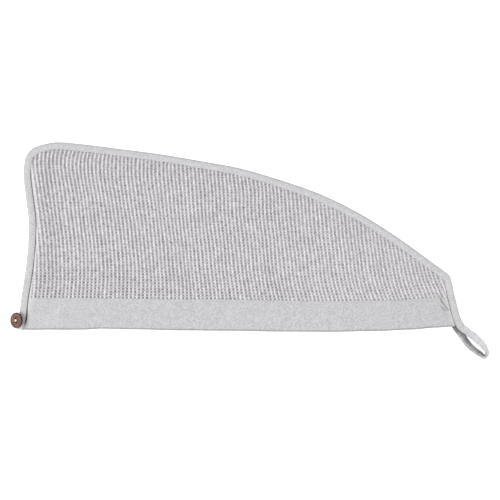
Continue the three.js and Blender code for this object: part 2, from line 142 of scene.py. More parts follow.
# Painted shade in the groove beside the binding: its width and darkness by height, on the left and on
# the right
LEFT_GROOVE = [(0, 0.2), (5, 1.2), (12, 2.2), (20, 1.8), (30, 0.9), (60, 1.0), (200, 1.0)]
LEFT_GROOVE_SHADE = [
    (0, 0.0), (3, 0.15), (8, 0.8), (13, 1.0), (24, 0.9), (34, 0.7), (75, 0.8), (205, 0.7), (226, 0.0),
]
RIGHT_GROOVE = [(4, 0.4), (14, 0.6), (24, 0.9), (44, 0.9), (60, 0.7)]
RIGHT_GROOVE_SHADE = [(0, 0.3), (10, 0.35), (16, 0.5), (24, 0.75), (50, 0.7), (62, 0.35), (74, 0.0)]

# Strength of the painted highlight on the rolled edge past the groove, by height
LEFT_EDGE_HIGHLIGHT = [
    (0, 0.0), (8, 0.1), (18, 0.25), (27, 0.65), (44, 0.6), (70, 0.5), (205, 0.6), (222, 0.0),
]
RIGHT_EDGE_HIGHLIGHT = [(0, 0.2), (7, 0.5), (20, 0.5), (40, 0.45), (54, 0.3), (66, 0.0)]

# How much narrower the binding's upper flap is at the bottom of the left side
LEFT_NARROWED = 0.5

# How far the ribs lean to the right on the way down, in degrees: by height, then by distance across
LEAN_HEIGHTS = [0, 14, 30, 49, 67, 89, 110, 132, 150, 164, 175, 185, 198]
LEAN_ACROSS = [45, 75, 120, 175, 240, 310, 375, 440, 510, 560]
LEAN = [
    [-6.0, -6.0, -3.0, -1.0, 4.0, 9.0, 15.0, 18.0, 22.0, 25.0],
    [-5.0, -5.0, -2.0, 0.0, 5.0, 9.0, 14.0, 16.0, 20.0, 23.0],
    [0.0, 0.0, 0.0, 1.5, 7.5, 9.0, 9.5, 11.0, 13.0, 17.0],
    [1.0, 2.0, 4.0, 5.0, 5.0, 5.5, 5.0, 5.0, 9.0, 12.0],
    [5.0, 5.0, 6.0, 6.0, 5.0, 5.0, 8.0, 8.5, 9.0, 10.0],
    [7.0, 7.0, 6.5, 6.0, 8.0, 7.5, 6.0, 6.0, 7.0, 8.0],
    [7.0, 7.0, 8.0, 8.0, 5.5, 5.0, 4.0, 6.0, 7.0, 8.0],
    [8.0, 7.0, 8.5, 7.0, 1.5, 2.0, 4.0, 6.0, 7.0, 8.0],
    [9.0, 9.0, 9.5, 7.0, 6.5, 7.0, 6.0, 6.0, 7.0, 8.0],
    [8.5, 10.0, 5.0, 4.0, 4.0, 5.0, 6.0, 6.0, 7.0, 8.0],
    [6.5, 4.0, 0.0, 0.0, 3.0, 4.0, 5.0, 6.0, 7.0, 8.0],
    [-4.0, -8.0, -6.0, 0.0, 3.0, 4.0, 5.0, 6.0, 7.0, 8.0],
    [-14.0, -24.0, -16.0, -4.0, 2.0, 4.0, 5.0, 6.0, 7.0, 8.0],
]


def smooth(value, low, high):
    """Smooth step from 0 at low to 1 at high."""
    share = np.clip((value - low) / (high - low), 0, 1)
    return share * share * (3 - 2 * share)


def read_table(table, across):
    """Height of a line over the distance across, eased between its rows."""
    points = np.array(table, float)
    across = np.asarray(across, float)
    row = np.clip(np.searchsorted(points[:, 0], across, side="right") - 1, 0, len(points) - 2)
    start, end = points[row], points[row + 1]
    share = smooth(across, start[..., 0], end[..., 0])
    return start[..., 1] + (end[..., 1] - start[..., 1]) * share


def smooth_curve(points, steps):
    """A smooth line through points, with some steps from each to the next.

    Also returns the point that each place is at, as a number with a fraction.
    """
    points = np.asarray(points, float)
    points = np.vstack([2 * points[0] - points[1], points, 2 * points[-1] - points[-2]])
    share = np.linspace(0, 1, steps, endpoint=False)[:, None]
    places, knots = [], []
    for index in range(len(points) - 3):
        p0, p1, p2, p3 = points[index : index + 4]
        d0, d1, d2 = (np.linalg.norm(b - a) ** 0.5 for a, b in ((p0, p1), (p1, p2), (p2, p3)))
        leave = ((p1 - p0) / d0 - (p2 - p0) / (d0 + d1) + (p2 - p1) / d1) * d1
        reach = ((p2 - p1) / d1 - (p3 - p1) / (d1 + d2) + (p3 - p2) / d2) * d1
        bend = -3 * p1 + 3 * p2 - 2 * leave - reach
        twist = 2 * p1 - 2 * p2 + leave + reach
        places.append(p1 + leave * share + bend * share**2 + twist * share**3)
        knots.append(index + share[:, 0])
    places.append(points[-2][None])
    knots.append([len(points) - 3])
    return np.vstack(places), np.concatenate(knots)


def run_lengths(line):
    """Distance along a line to each of its places."""
    steps = np.linalg.norm(np.diff(line, axis=0), axis=1)
    return np.concatenate([[0], np.cumsum(steps)])


def evenly(line, count):
    """The same line as count places at even distances."""
    lengths = run_lengths(line)
    wanted = np.linspace(0, lengths[-1], count)
    return np.stack([np.interp(wanted, lengths, line[:, axis]) for axis in range(2)], axis=1)


def arc(centre, radius, start, end, steps):
    """Places on an arc, angles in degrees."""
    angles = np.radians(np.linspace(start, end, steps + 1))
    return np.stack([centre[0] + radius * np.cos(angles), centre[1] + radius * np.sin(angles)], 1)


def rounded_corner(before, vertex, after, radius, steps):
    """Places on the arc that rounds a corner between two neighbours."""
    vertex = np.array(vertex)
    back, onward = np.array(before) - vertex, np.array(after) - vertex
    back, onward = back / np.linalg.norm(back), onward / np.linalg.norm(onward)
    half = math.acos(float(back @ onward)) / 2
    middle = back + onward
    centre = vertex + middle / np.linalg.norm(middle) * radius / math.sin(half)
    tangent = radius / math.tan(half)
    spokes = [vertex + way * tangent - centre for way in (back, onward)]
    start, end = (math.degrees(math.atan2(spoke[1], spoke[0])) % 360 for spoke in spokes)
    if end > start + 180:
        end -= 360
    return arc(centre, radius, start, end, steps)


crown_arc = arc(
    CROWN_CORNER["centre"], CROWN_CORNER["radius"], CROWN_CORNER["from"], CROWN_CORNER["to"], 4
)
end_arc = rounded_corner(
    CROWN_EDGE[-1], END_CORNER["vertex"], RIGHT_END[0], END_CORNER["radius"], 3
)
outline_points = np.vstack([LEFT_EDGE, crown_arc, CROWN_EDGE, end_arc, RIGHT_END])
outline_line = smooth_curve(outline_points, 24)[0]
OUTLINE = evenly(outline_line, 640)


def nearest_index(place):
    """The outline's place that is nearest to a place."""
    return int(np.argmin(np.linalg.norm(OUTLINE - np.array(place), axis=1)))


crown_at = nearest_index(crown_arc[2])
end_at = nearest_index(END_CORNER["vertex"])

# The outline's three stretches, in longer steps that are enough to measure distances from
STRETCHES = {
    "left": OUTLINE[: crown_at + 1 : 4],
    "crown": OUTLINE[crown_at : end_at + 1 : 4],
    "right": OUTLINE[end_at::4],
}


def distance_to(line, places):
    """Distance of each place to a line."""
    nearest = np.full(places.shape[:-1], 1e9)
    for start, step in zip(line[:-1], np.diff(line, axis=0)):
        offset = places - start
        share = np.clip(offset @ step / (step @ step), 0, 1)
        nearest = np.minimum(nearest, np.linalg.norm(offset - share[..., None] * step, axis=-1))
    return nearest


def within(places, loop):
    """Which places are inside a closed line."""
    inside = np.zeros(places.shape[:-1], bool)
    for (ax, ay), (bx, by) in zip(loop, np.roll(loop, -1, axis=0)):
        if ay == by:
            continue
        crosses = (ay > places[..., 1]) != (by > places[..., 1])
        inside ^= crosses & (places[..., 0] < ax + (places[..., 1] - ay) / (by - ay) * (bx - ax))
    return inside


def edge_distances(places):
    """Distance to the left, crown and right stretches of the outline."""
    return {name: distance_to(line, places) for name, line in STRETCHES.items()}


def inset_of(away):
    """Distance of each place to the whole outline."""
    return np.minimum(np.minimum(away["left"], away["crown"]), away["right"])


def upper_lift(places, away):
    """How far the upper layer is lifted over each place."""
    slot = read_table(SLOT_WIDTH, places[..., 1])
    left = np.maximum(away["left"] - LIFT_START - slot, 0)
    crown = np.maximum(away["crown"] - LIFT_START, 0)
    right = np.maximum(away["right"] - LIFT_START, 0)
    opened = (
        (1 - np.exp(-left / LOFT_REACH["left"]))
        * (1 - np.exp(-crown / LOFT_REACH["crown"]))
        * (1 - np.exp(-right / LOFT_REACH["right"]))
    )
    rolled = left / ROLL_REACH
    roll = ROLL_HEIGHT * rolled * np.exp(1 - rolled) * smooth(crown, 0, 20)
    folds = np.zeros_like(opened)
    for across, spread, rise in RIPPLES:
        side = (places[..., 0] - across) / spread
        folds += rise * np.exp(-side * side) * np.exp(-np.maximum(places[..., 1], 0) / RIPPLE_FADE)
    for across, height, spread, depth in DENTS:
        reach = np.hypot(places[..., 0] - across, places[..., 1] - height) / spread
        folds -= depth * np.exp(-reach * reach)
    return np.maximum(LOFT * opened + roll + folds * opened, 0)


def soft_noise(shape, spread, seed):
    """Smooth random field with a spread of about 1, its bumps some samples across."""
    field = np.random.default_rng(seed).normal(size=shape)
    for axis in (0, 1):
        reach = int(spread[axis] * 2)
        kernel = np.exp(-0.5 * (np.arange(-reach, reach + 1) / spread[axis]) ** 2)
        kernel /= math.sqrt(float((kernel**2).sum()))
        field = np.apply_along_axis(np.convolve, axis, field, kernel, mode="same")
    return field


def new_piece(name, mesh, material, slot_name, *nodes):
    """Puts a finished mesh in the scene as a piece that stands for some nodes."""
    piece = bpy.data.objects.new(name, mesh)
    bpy.context.scene.collection.objects.link(piece)
    mesh.materials.append(material)
    mesh.shade_smooth()
    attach(piece, "root")
    if nodes:
        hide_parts(*nodes)
    return piece


def closed_sheet(name, face, back, keep=None, weave=None, fields=None, thin_back=False):
    """A sheet of cloth with a wall. face and back are grids of places on its two sides in mm.

    keep marks the grid points that the cloth reaches, weave is the place of each grid point on
    the cloth and fields are values at each of them. thin_back leaves out half the back's columns.
    """
    rows, columns = face.shape[:2]
    bm = bmesh.new()
    grid_index = bm.verts.layers.int.new("grid")
    bmesh.ops.create_grid(bm, x_segments=columns - 1, y_segments=rows - 1, size=1)
    for vert in bm.verts:
        column = round((vert.co.x + 1) / 2 * (columns - 1))
        row = round((vert.co.y + 1) / 2 * (rows - 1))
        vert[grid_index] = row * columns + column
    if keep is not None:
        kept = keep.ravel()
        gone = [f for f in bm.faces if not all(kept[v[grid_index]] for v in f.verts)]
        bmesh.ops.delete(bm, geom=gone, context="FACES")
    grown = bmesh.ops.extrude_face_region(bm, geom=bm.faces[:])["geom"]
    face_verts = {item for item in grown if isinstance(item, bmesh.types.BMVert)}
    places = {True: to_metres(face).reshape(-1, 3), False: to_metres(back).reshape(-1, 3)}
    for vert in bm.verts:
        vert.co = places[vert in face_verts][vert[grid_index]]
    if thin_back:
        spare = [
            edge
            for edge in bm.edges
            if edge.verts[0] not in face_verts
            and edge.verts[1] not in face_verts
            and edge.verts[0][grid_index] % columns % 2 == 1
            and abs(edge.verts[0][grid_index] - edge.verts[1][grid_index]) == columns
            and len(edge.link_faces) == 2
            and all(v not in face_verts for f in edge.link_faces for v in f.verts)
        ]
        bmesh.ops.dissolve_edges(bm, edges=spare, use_verts=True)
    bmesh.ops.remove_doubles(bm, verts=bm.verts[:], dist=2e-6)
    bmesh.ops.recalc_face_normals(bm, faces=bm.faces[:])
    mesh = bpy.data.meshes.new(name)
    bm.to_mesh(mesh)
    bm.free()
    index = np.zeros(len(mesh.vertices), np.int32)
    mesh.attributes["grid"].data.foreach_get("value", index)
    for field, values in (fields or {}).items():
        layer = mesh.attributes.new(field, "FLOAT", "POINT")
        layer.data.foreach_set("value", values.ravel()[index].astype(np.float32))
    if weave is not None:
        corners = np.zeros(len(mesh.loops), np.int32)
        mesh.loops.foreach_get("vertex_index", corners)
        layer = mesh.uv_layers.new(name="weave")
        layer.data.foreach_set("uv", (weave.reshape(-1, 2)[index[corners]] * MM).ravel())
    mesh.attributes.remove(mesh.attributes["grid"])
    return mesh


def to_metres(places):
    """Drawing millimetres to the row frame."""
    return places * MM + ORIGIN


def stacked(across, height, level):
    """Places from their three measures."""
    return np.stack(np.broadcast_arrays(across, height, level), axis=-1)


# Materials


class Nodes:
    """A material's node tree, with short ways to add and join its nodes."""

    def __init__(self, name):
        self.material = bpy.data.materials.new(name)
        self.material.use_nodes = True
        self.tree = self.material.node_tree
        self.shader = self.tree.nodes["Principled BSDF"]

    def add(self, kind, settings=None, **inputs):
        """A new node with its settings and the sockets that the inputs name."""
        node = self.tree.nodes.new(kind)
        for key, value in (settings or {}).items():
            setattr(node, key, value)
        for key, value in inputs.items():
            self.put(node, key.replace("_", " "), value)
        return node

    def put(self, node, key, value):
        """Joins an output to a node's input, or sets the input to a number or colour."""
        socket = node.inputs[key]
        if isinstance(value, bpy.types.NodeSocket):
            self.tree.links.new(value, socket)
        else:
            socket.default_value = value

    def math(self, operation, *values, clamp=False):
        node = self.tree.nodes.new("ShaderNodeMath")
        node.operation = operation
        node.use_clamp = clamp
        for index, value in enumerate(values):
            self.put(node, index, value)
        return node.outputs[0]

    def blend(self, share, low, high):
        node = self.tree.nodes.new("ShaderNodeMix")
        node.data_type = "RGBA"
        for key, value in ((0, share), (6, low), (7, high)):
            self.put(node, key, value)
        return node.outputs[2]

    def attribute(self, name):
        return self.add("ShaderNodeAttribute", {"attribute_name": name}).outputs["Fac"]

    def noise(self, place, scale, detail=1.0):
        return self.add("ShaderNodeTexNoise", Vector=place, Scale=scale, Detail=detail).outputs[0]

    def spread(self, value, gain):
        """A noise value stretched about its middle to fill 0 to 1."""
        centred = self.math("SUBTRACT", value, 0.5)
        return self.math("ADD", self.math("MULTIPLY", centred, gain), 0.5, clamp=True)

    def between(self, value, low, high):
        """Smooth step from 0 at low to 1 at high."""
        return self.add("ShaderNodeMapRange", {"interpolation_type": "SMOOTHSTEP"}, Value=value,
                        From_Min=low, From_Max=high).outputs[0]

    def dimmed(self, tint, share):
        node = self.tree.nodes.new("ShaderNodeVectorMath")
        node.operation = "SCALE"
        self.put(node, "Vector", tint)
        self.put(node, "Scale", share)
        return node.outputs[0]

    def wave(self, value):
        """1 at whole values, 0 half way between them."""
        turned = self.math("COSINE", self.math("MULTIPLY", value, 2 * math.pi))
        return self.math("MULTIPLY_ADD", turned, 0.5, 0.5)


def linear(red, green, blue):
    """Screen colour from 0 to 255 as a linear colour with alpha."""

    def channel(value):
        value /= 255
        return value / 12.92 if value <= 0.04045 else ((value + 0.055) / 1.055) ** 2.4

    return (channel(red), channel(green), channel(blue), 1.0)


def darker(colour, share):
    """A screen colour dimmed to a share of itself, as a linear colour."""
    return linear(*(value * share for value in colour))


def fleck(n, place):
    """Share of light fibres from 0 to 1: a fine mixed fleck in wider patches."""
    fine = n.math("MULTIPLY", n.noise(place, 620.0, 2.0), 0.86)
    return n.spread(n.math("MULTIPLY_ADD", n.noise(place, 130.0), 0.14, fine), 5.0)


def yarns(n, pitch):
    """Wave of a plain weave's crossing yarns, from -1 to 1."""
    weave = n.add("ShaderNodeUVMap", {"uv_map": "weave"}).outputs["UV"]
    split = n.add("ShaderNodeSeparateXYZ", Vector=weave)
    turns = 2 * math.pi / (pitch * MM)
    warp = n.math("SINE", n.math("MULTIPLY", split.outputs["X"], turns))
    weft = n.math("SINE", n.math("MULTIPLY", split.outputs["Y"], turns))
    return n.math("MULTIPLY", warp, weft)


# Colour of the painted highlight on the edge of rolled cloth, and how dark painted shade makes cloth
# as a share of its own colour
ROLLED_EDGE_HIGHLIGHT = (242, 241, 234)
SHADED = 0.35


def painted_groove_and_highlight(n, tint, dark):
    """The tint with painted shade in the groove beside the binding and a painted highlight on the
    rolled edge after it.
    """
    depth = n.attribute("groove_shade")
    highlight_share = n.attribute("edge_highlight")
    past = n.math("SUBTRACT", n.attribute("beside"), n.attribute("groove"))
    # Painted shade: a dark line in the groove
    line = n.math("MULTIPLY", n.math("SUBTRACT", 1.0, n.between(past, -0.35, 0.35)), depth)
    # Painted highlight on the rolled edge, and a fainter broad one past it
    offset = n.math("MULTIPLY", n.math("SUBTRACT", past, 1.4), 0.85)
    pale = n.math("EXPONENT", n.math("MULTIPLY", n.math("MULTIPLY", offset, offset), -1.0))
    broad = n.math("MULTIPLY", n.math("SUBTRACT", 1.0, n.between(past, 2.0, 9.0)), 0.16)
    pale = n.math("MULTIPLY", n.math("MAXIMUM", pale, broad), highlight_share)
    return n.blend(line, n.blend(pale, tint, linear(*ROLLED_EDGE_HIGHLIGHT)), dark)


def finish_cloth(n, tint, height, relief):
    """Matt cotton with fuzz, in a tint, with fine relief."""
    n.put(n.shader, "Base Color", tint)
    n.put(n.shader, "Roughness", 0.95)
    n.put(n.shader, "Sheen Weight", 0.1)
    n.put(n.shader, "Sheen Roughness", 0.6)
    n.put(n.shader, "Specular IOR Level", 0.15)
    bump = n.add("ShaderNodeBump", Height=height, Strength=0.6, Distance=relief)
    n.put(n.shader, "Normal", bump.outputs[0])


def plain_cloth(name, colour, contrast, pitch, groove=False):
    """Plain woven cotton in mixed greys, up to a contrast on each side of its colour."""
    n = Nodes(name)
    place = n.add("ShaderNodeTexCoord").outputs["Object"]
    woven = yarns(n, pitch)
    light = n.math("MULTIPLY_ADD", woven, 0.08, fleck(n, place))
    tint = n.blend(light, linear(*(value - contrast for value in colour)),
                   linear(*(value + contrast for value in colour)))
    dark = darker(colour, SHADED)
    # Painted shade from the piece's shade attribute, towards the dark shaded colour
    tint = n.blend(n.attribute("shade"), dark, tint)
    if groove:
        tint = painted_groove_and_highlight(n, tint, dark)
    height = n.math("MULTIPLY_ADD", woven, 0.5, n.noise(place, 900.0, 3.0))
    finish_cloth(n, tint, height, 0.00012)
    return n.material


# Colours of the waffle weave, its rib crests a painted highlight and its pits painted shade, and of
# plain cloth where its pattern fades
BEAD_HIGHLIGHT = (248, 246, 249)
RIB_DIP = (202, 199, 203)
VALLEY = (197, 194, 198)
PIT_SHADE = (102, 98, 103)
WAFFLE_PLAIN = (203, 200, 204)


def waffle_cloth():
    """Waffle weave: beaded ribs with a painted highlight, grey valleys, and painted shade in the pits
    between the cross bars.
    """
    n = Nodes("waffle_cloth")
    place = n.add("ShaderNodeTexCoord").outputs["Object"]
    weave = n.add("ShaderNodeUVMap", {"uv_map": "weave"}).outputs["UV"]
    cells = n.add("ShaderNodeMapping", Vector=weave,
                  Scale=(1 / (RIB_PITCH * MM), 1 / (ROW_PITCH * MM), 1.0)).outputs[0]
    drift = n.add("ShaderNodeTexNoise", Vector=cells, Scale=0.9, Detail=2.0).outputs["Color"]
    moved = n.add("ShaderNodeVectorMath", {"operation": "MULTIPLY_ADD"})
    n.put(moved, 0, drift)
    n.put(moved, 1, (0.34, 0.6, 0.0))
    n.put(moved, 2, cells)
    split = n.add("ShaderNodeSeparateXYZ", Vector=moved.outputs[0])
    across = n.math("SUBTRACT", split.outputs["X"], 0.17)
    along = n.math("SUBTRACT", split.outputs["Y"], 0.3)
    rib = n.math("POWER", n.wave(across), 1.65)
    bar = n.wave(along)

    def chance(shift, salt):
        """One random value for each cell of the weave."""
        cell = n.add("ShaderNodeCombineXYZ", X=n.math("FLOOR", n.math("ADD", across, shift)),
                     Y=n.math("FLOOR", along), Z=salt)
        return n.add("ShaderNodeTexWhiteNoise", Vector=cell.outputs[0]).outputs["Value"]

    # row_depth sets how strongly the painted shade of the pits shows along the rows
    rows = n.attribute("row_depth")
    beaded = n.math("MULTIPLY", n.math("MULTIPLY", bar, 0.6), rows)
    dip = n.math("MULTIPLY_ADD", chance(0.5, 1.0), 0.42, beaded, clamp=True)
    crest = n.blend(dip, linear(*BEAD_HIGHLIGHT), linear(*RIB_DIP))
    stretched = n.add("ShaderNodeMapping", Vector=cells, Scale=(0.8, 0.12, 1.0)).outputs[0]
    streak = n.spread(n.noise(stretched, 1.0, 2.0), 4.5)
    filled = n.math("MULTIPLY_ADD", chance(0.0, 2.0), 0.34, n.math("MULTIPLY", streak, 0.05))
    crossed = n.math("MULTIPLY_ADD", n.math("SUBTRACT", bar, 0.5), rows, 0.5)
    filled = n.math("MULTIPLY_ADD", crossed, 0.76, filled, clamp=True)
    valley = n.blend(filled, linear(*PIT_SHADE), linear(*VALLEY))
    tint = n.blend(rib, valley, crest)
    tint = n.blend(n.attribute("weave_share"), linear(*WAFFLE_PLAIN), tint)
    tint = n.dimmed(tint, n.math("MULTIPLY_ADD", fleck(n, place), 0.36, 0.82))
    # Painted shade from the shade attribute, then the painted groove shade and rolled edge highlight
    dark = darker(WAFFLE_PLAIN, SHADED)
    tint = painted_groove_and_highlight(n, n.blend(n.attribute("shade"), dark, tint), dark)
    woven = n.math("MULTIPLY_ADD", yarns(n, 0.7), 0.12, n.math("MULTIPLY", rib, 0.5))
    height = n.math("ADD", woven, n.math("MULTIPLY_ADD", bar, 0.25, n.noise(place, 900.0, 3.0)))
    finish_cloth(n, tint, height, 0.0002)
    return n.material


def wood_material(name):
    """Brown wood with fine rings and pores, with painted shade at the rim and holes from the shade
    attribute.
    """
    n = Nodes(name)
    place = n.add("ShaderNodeTexCoord").outputs["Object"]
    grain_way = n.add("ShaderNodeMapping", Vector=place, Rotation=(0.3, 0.8, 0.5),
                      Scale=(1.0, 0.12, 1.0)).outputs[0]
    grain = n.add("ShaderNodeTexNoise", Vector=grain_way, Scale=1400.0, Detail=4.0,
                  Roughness=0.65).outputs[0]
    cloud = n.noise(place, 640.0, 2.0)
    mix = n.math("ADD", n.math("MULTIPLY", grain, 0.3), n.math("MULTIPLY", cloud, 0.7))
    share = n.spread(mix, 5.5)
    tint = n.blend(share, linear(68, 40, 34), linear(152, 113, 101))
    # Painted shade at the button's rim and in and round its holes
    tint = n.blend(n.attribute("shade"), linear(52, 34, 31), tint)
    n.put(n.shader, "Base Color", tint)
    n.put(n.shader, "Roughness", 0.5)
    n.put(n.shader, "Specular IOR Level", 0.25)
    bump = n.add("ShaderNodeBump", Height=grain, Strength=0.35, Distance=0.0001)
    n.put(n.shader, "Normal", bump.outputs[0])
    return n.material


def thread_material(name, colour):
    """Twisted sewing thread in a screen colour."""
    n = Nodes(name)
    place = n.add("ShaderNodeTexCoord").outputs["Object"]
    twist = n.add("ShaderNodeTexWave", {"bands_direction": "DIAGONAL"}, Vector=place, Scale=900.0,
                  Distortion=1.5)
    tint = n.blend(twist.outputs["Fac"], darker(colour, 0.88), linear(*colour))
    n.put(n.shader, "Base Color", tint)
    n.put(n.shader, "Roughness", 0.75)
    bump = n.add("ShaderNodeBump", Height=twist.outputs["Fac"], Strength=0.5, Distance=0.00006)
    n.put(n.shader, "Normal", bump.outputs[0])
    return n.material


WAFFLE_CLOTH = waffle_cloth()
BAND_CLOTH = plain_cloth("band_cloth", (197, 196, 198), 12, 0.55, groove=True)
BINDING_TAPE = plain_cloth("binding_tape", (210, 209, 212), 16, 0.5)
BUTTON_WOOD = wood_material("button_wood")
BUTTON_THREAD = thread_material("button_thread", (252, 250, 247))
STITCH_THREAD = thread_material("stitch_thread", (214, 213, 214))

# Cloth


def waffle_grid():
    """Places of the woven grid: columns follow the leaning ribs, rows follow the band."""
    columns = int(GRID_LENGTH / RIB_PITCH) * RIB_SAMPLES + 1
    rows = int(GRID_DEPTH / ROW_PITCH) * ROW_SAMPLES + 1 + TUCKED_ROWS
    grid = np.zeros((rows, columns, 2))
    across = GRID_START + np.arange(columns) * RIB_PITCH / RIB_SAMPLES
    height = read_table(BAND_TOP, across) + FIRST_ROW_RISE - TUCKED_ROWS * ROW_STEP
    for row in range(rows):
        grid[row] = np.stack([across, height], axis=1)
        above_band = (row - TUCKED_ROWS) * ROW_STEP
        leans = [np.interp(across, LEAN_ACROSS, line) for line in LEAN]
        spot = np.interp(above_band, LEAN_HEIGHTS, np.arange(len(LEAN_HEIGHTS)))
        low = min(int(spot), len(LEAN_HEIGHTS) - 2)
        lean = leans[low] + (leans[low + 1] - leans[low]) * (spot - low)
        across = across - np.tan(np.radians(lean)) * ROW_STEP
        height = height + ROW_STEP
    return grid


def waffle_relief(shape):
    """Height of the weave at each grid point in mm, about 0 on the crests, a little uneven."""
    rows, columns = shape
    rib = np.arange(columns) % RIB_SAMPLES
    row = (np.arange(rows) - TUCKED_ROWS + 1) % ROW_SAMPLES
    height = np.where((row == 0)[:, None], BAR_HEIGHTS[rib], PIT_HEIGHTS[rib])
    strength = 1 + 0.14 * soft_noise(shape, (14, 1.8), 3) + 0.12 * soft_noise(shape, (1.6, 1.6), 4)
    return height * np.clip(strength, 0.4, 1.5) + 0.05 * soft_noise(shape, (0.8, 0.8), 5)


def groove_fields(places, away):
    """Distance past the binding's edge, the width and strength of the painted groove shade there, and
    of the painted highlight on the rolled edge.
    """
    height = places[..., 1]
    left = away["left"] < away["right"]
    return {
        "beside": np.minimum(away["left"], away["right"]) - BINDING_WIDTH,
        "groove": np.where(left, read_table(LEFT_GROOVE, height), read_table(RIGHT_GROOVE, height)),
        "groove_shade": np.where(left, read_table(LEFT_GROOVE_SHADE, height),
                                 read_table(RIGHT_GROOVE_SHADE, height)),
        "edge_highlight": np.where(left, read_table(LEFT_EDGE_HIGHLIGHT, height), read_table(RIGHT_EDGE_HIGHLIGHT, height)),
    }


# The waffle is pressed smooth in the corner right of this line (across, height)
PRESSED_CORNER = [(559.5, 77.7), (571.5, 44.2)]


def pressed(places):
    """Share of the weave's pattern left at each place, low in the pressed corner."""
    (ax, ay), (bx, by) = PRESSED_CORNER
    past = (places[..., 0] - ax) * (ay - by) - (places[..., 1] - ay) * (ax - bx)
    return 1 - 0.75 * smooth(past / math.hypot(bx - ax, by - ay), -0.8, 2.2)


def pattern_fields(grid, away, share):
    """How the upper panel's pattern and painted shade change over it."""
    across = grid[..., 0]
    above_band = (np.arange(len(grid)) - TUCKED_ROWS)[:, None] * ROW_STEP
    near_left = smooth(-across, -330, -120)
    near_band = smooth(-above_band, -60, -8) * (0.5 + 0.5 * near_left)
    # Painted shade: under the crown binding, in a band beside the left ridge, and darker on the left
    # than towards the right end
    crown_shade = 0.07 * np.exp(-((away["crown"] - BINDING_WIDTH) / 5.0))
    ridge_shade = 0.06 * np.exp(-(((away["left"] - 34) / 13) ** 2))
    left_shade = 0.05 * (1 - smooth(across, 200, 560))
    shown = smooth(inset_of(away), BINDING_WIDTH - 1.0, BINDING_WIDTH + 0.4)
    fields = groove_fields(grid, away)
    fields["shade"] = 1 - np.clip(crown_shade, 0, 0.07) - ridge_shade - left_shade
    # Strength of the painted shade in the pits along the rows: weaker near the crown, stronger near
    # the band on the left
    fields["row_depth"] = 0.75 - 0.2 * smooth(above_band, 110, 190) + 0.4 * near_band
    fields["weave_share"] = share * shown * (0.95 - 0.2 * smooth(across, 260, 560))
    return fields


def waffle_panels():
    """Both waffle panels, on the same woven grid."""
    grid = waffle_grid()
    shape = grid.shape[:2]
    grid[..., 0] += 0.28 * soft_noise(shape, (9, 5), 6)
    across, height = grid[..., 0], grid[..., 1]
    away = edge_distances(grid)
    inside = inset_of(away)
    below_hem = [[592, -10], [-4, -10]]
    keep = within(grid, np.vstack([OUTLINE, below_hem])) & (inside > SEWN_INSET)
    free = smooth(inside, BINDING_WIDTH - 0.8, BINDING_WIDTH + 1.6)
    share = pressed(grid)
    relief = waffle_relief(shape) * free * share
    rib_run = np.arange(shape[1]) * RIB_PITCH / RIB_SAMPLES
    row_run = (np.arange(shape[0]) - TUCKED_ROWS + 1) * ROW_STEP
    weave = np.stack(np.meshgrid(rib_run, row_run), axis=-1)

    # The upper panel, whose underside follows the weave faintly
    wall = SEWN_WALL + (WAFFLE_WALL - SEWN_WALL) * free
    under = UPPER_LEVEL + upper_lift(grid, away)
    face = stacked(across, height, under + wall + relief)
    face[:TUCKED_ROWS, :, 2] = (under + TUCKED_WALL)[:TUCKED_ROWS]
    back = stacked(across, height, under + 0.3 * (relief + 0.4))
    back[:TUCKED_ROWS, :, 2] = under[:TUCKED_ROWS]
    fields = pattern_fields(grid, away, share)
    mesh = closed_sheet("front_waffle_cloth", face, back, keep, weave, fields, thin_back=True)
    front = new_piece(
        "front_waffle_cloth", mesh, WAFFLE_CLOTH, "waffle_cloth",
        "front_panel_left", "front_panel_middle", "front_panel_crown", "front_panel_tip",
    )

    # The lower panel, with its weave towards the floor
    floor_free = smooth(inside, BINDING_WIDTH, BINDING_WIDTH + FLOOR_REACH)
    low = (TAPE_WALL + LAYER_GAP) * (1 - floor_free)
    bottom = low + 0.15 * floor_free - relief * 0.85
    wall = SEWN_WALL + (WAFFLE_WALL - SEWN_WALL) * floor_free
    inner = stacked(across, height, low + wall)
    outer = stacked(across, height, np.maximum(bottom, FLOOR_GAP))
    outer[:TUCKED_ROWS, :, 2], inner[:TUCKED_ROWS, :, 2] = TUCKED_LEVELS
    fields = {
        "weave_share": fields["weave_share"],
        "row_depth": fields["row_depth"],
        "shade": np.ones(shape),
        "groove_shade": np.zeros(shape),
        "edge_highlight": np.zeros(shape),
    }
    mesh = closed_sheet("back_waffle_cloth", outer, inner, keep, weave, fields, thin_back=True)
    rear = new_piece("back_waffle_cloth", mesh, WAFFLE_CLOTH, "waffle_cloth", "back_waffle_panel")
    return front, rear


front_waffle, back_waffle = waffle_panels()


def outline_across(side, height):
    """Where the left or right stretch of the outline is at a height."""
    line = STRETCHES[side]
    order = np.argsort(line[:, 1])
    return np.interp(height, line[order, 1], line[order, 0])


# Heights over the hem of the band's grid rows in mm, close together at both edges
BAND_ROWS = np.concatenate([
    [0, 0.12, 0.4, 0.8, 1.3, 1.8, 2.3, 2.9, 3.6], np.arange(4.6, 40, 1.5), [40.5, 41.9, 42.6, 43.0],
])
BAND_COLUMNS = 360


def band_grid():
    """Places of the band's grid: rows from the rounded hem up to the waffle."""
    along = np.linspace(0, 1, BAND_COLUMNS)
    along = along - 0.62 * np.sin(2 * np.pi * along) / (2 * np.pi)
    grid = np.zeros((len(BAND_ROWS), BAND_COLUMNS, 2))
    for row, share in enumerate(BAND_ROWS / BAND_HEIGHT):
        height = 3 + share * 40
        left = outline_across("left", height) + 4.0
        right = outline_across("right", np.maximum(height, 10)) - 4.0
        across = left + (right - left) * along
        hem, top = read_table(HEM, across), read_table(BAND_TOP, across)
        grid[row] = np.stack([across, hem + (top - hem) * share], axis=1)
    return grid


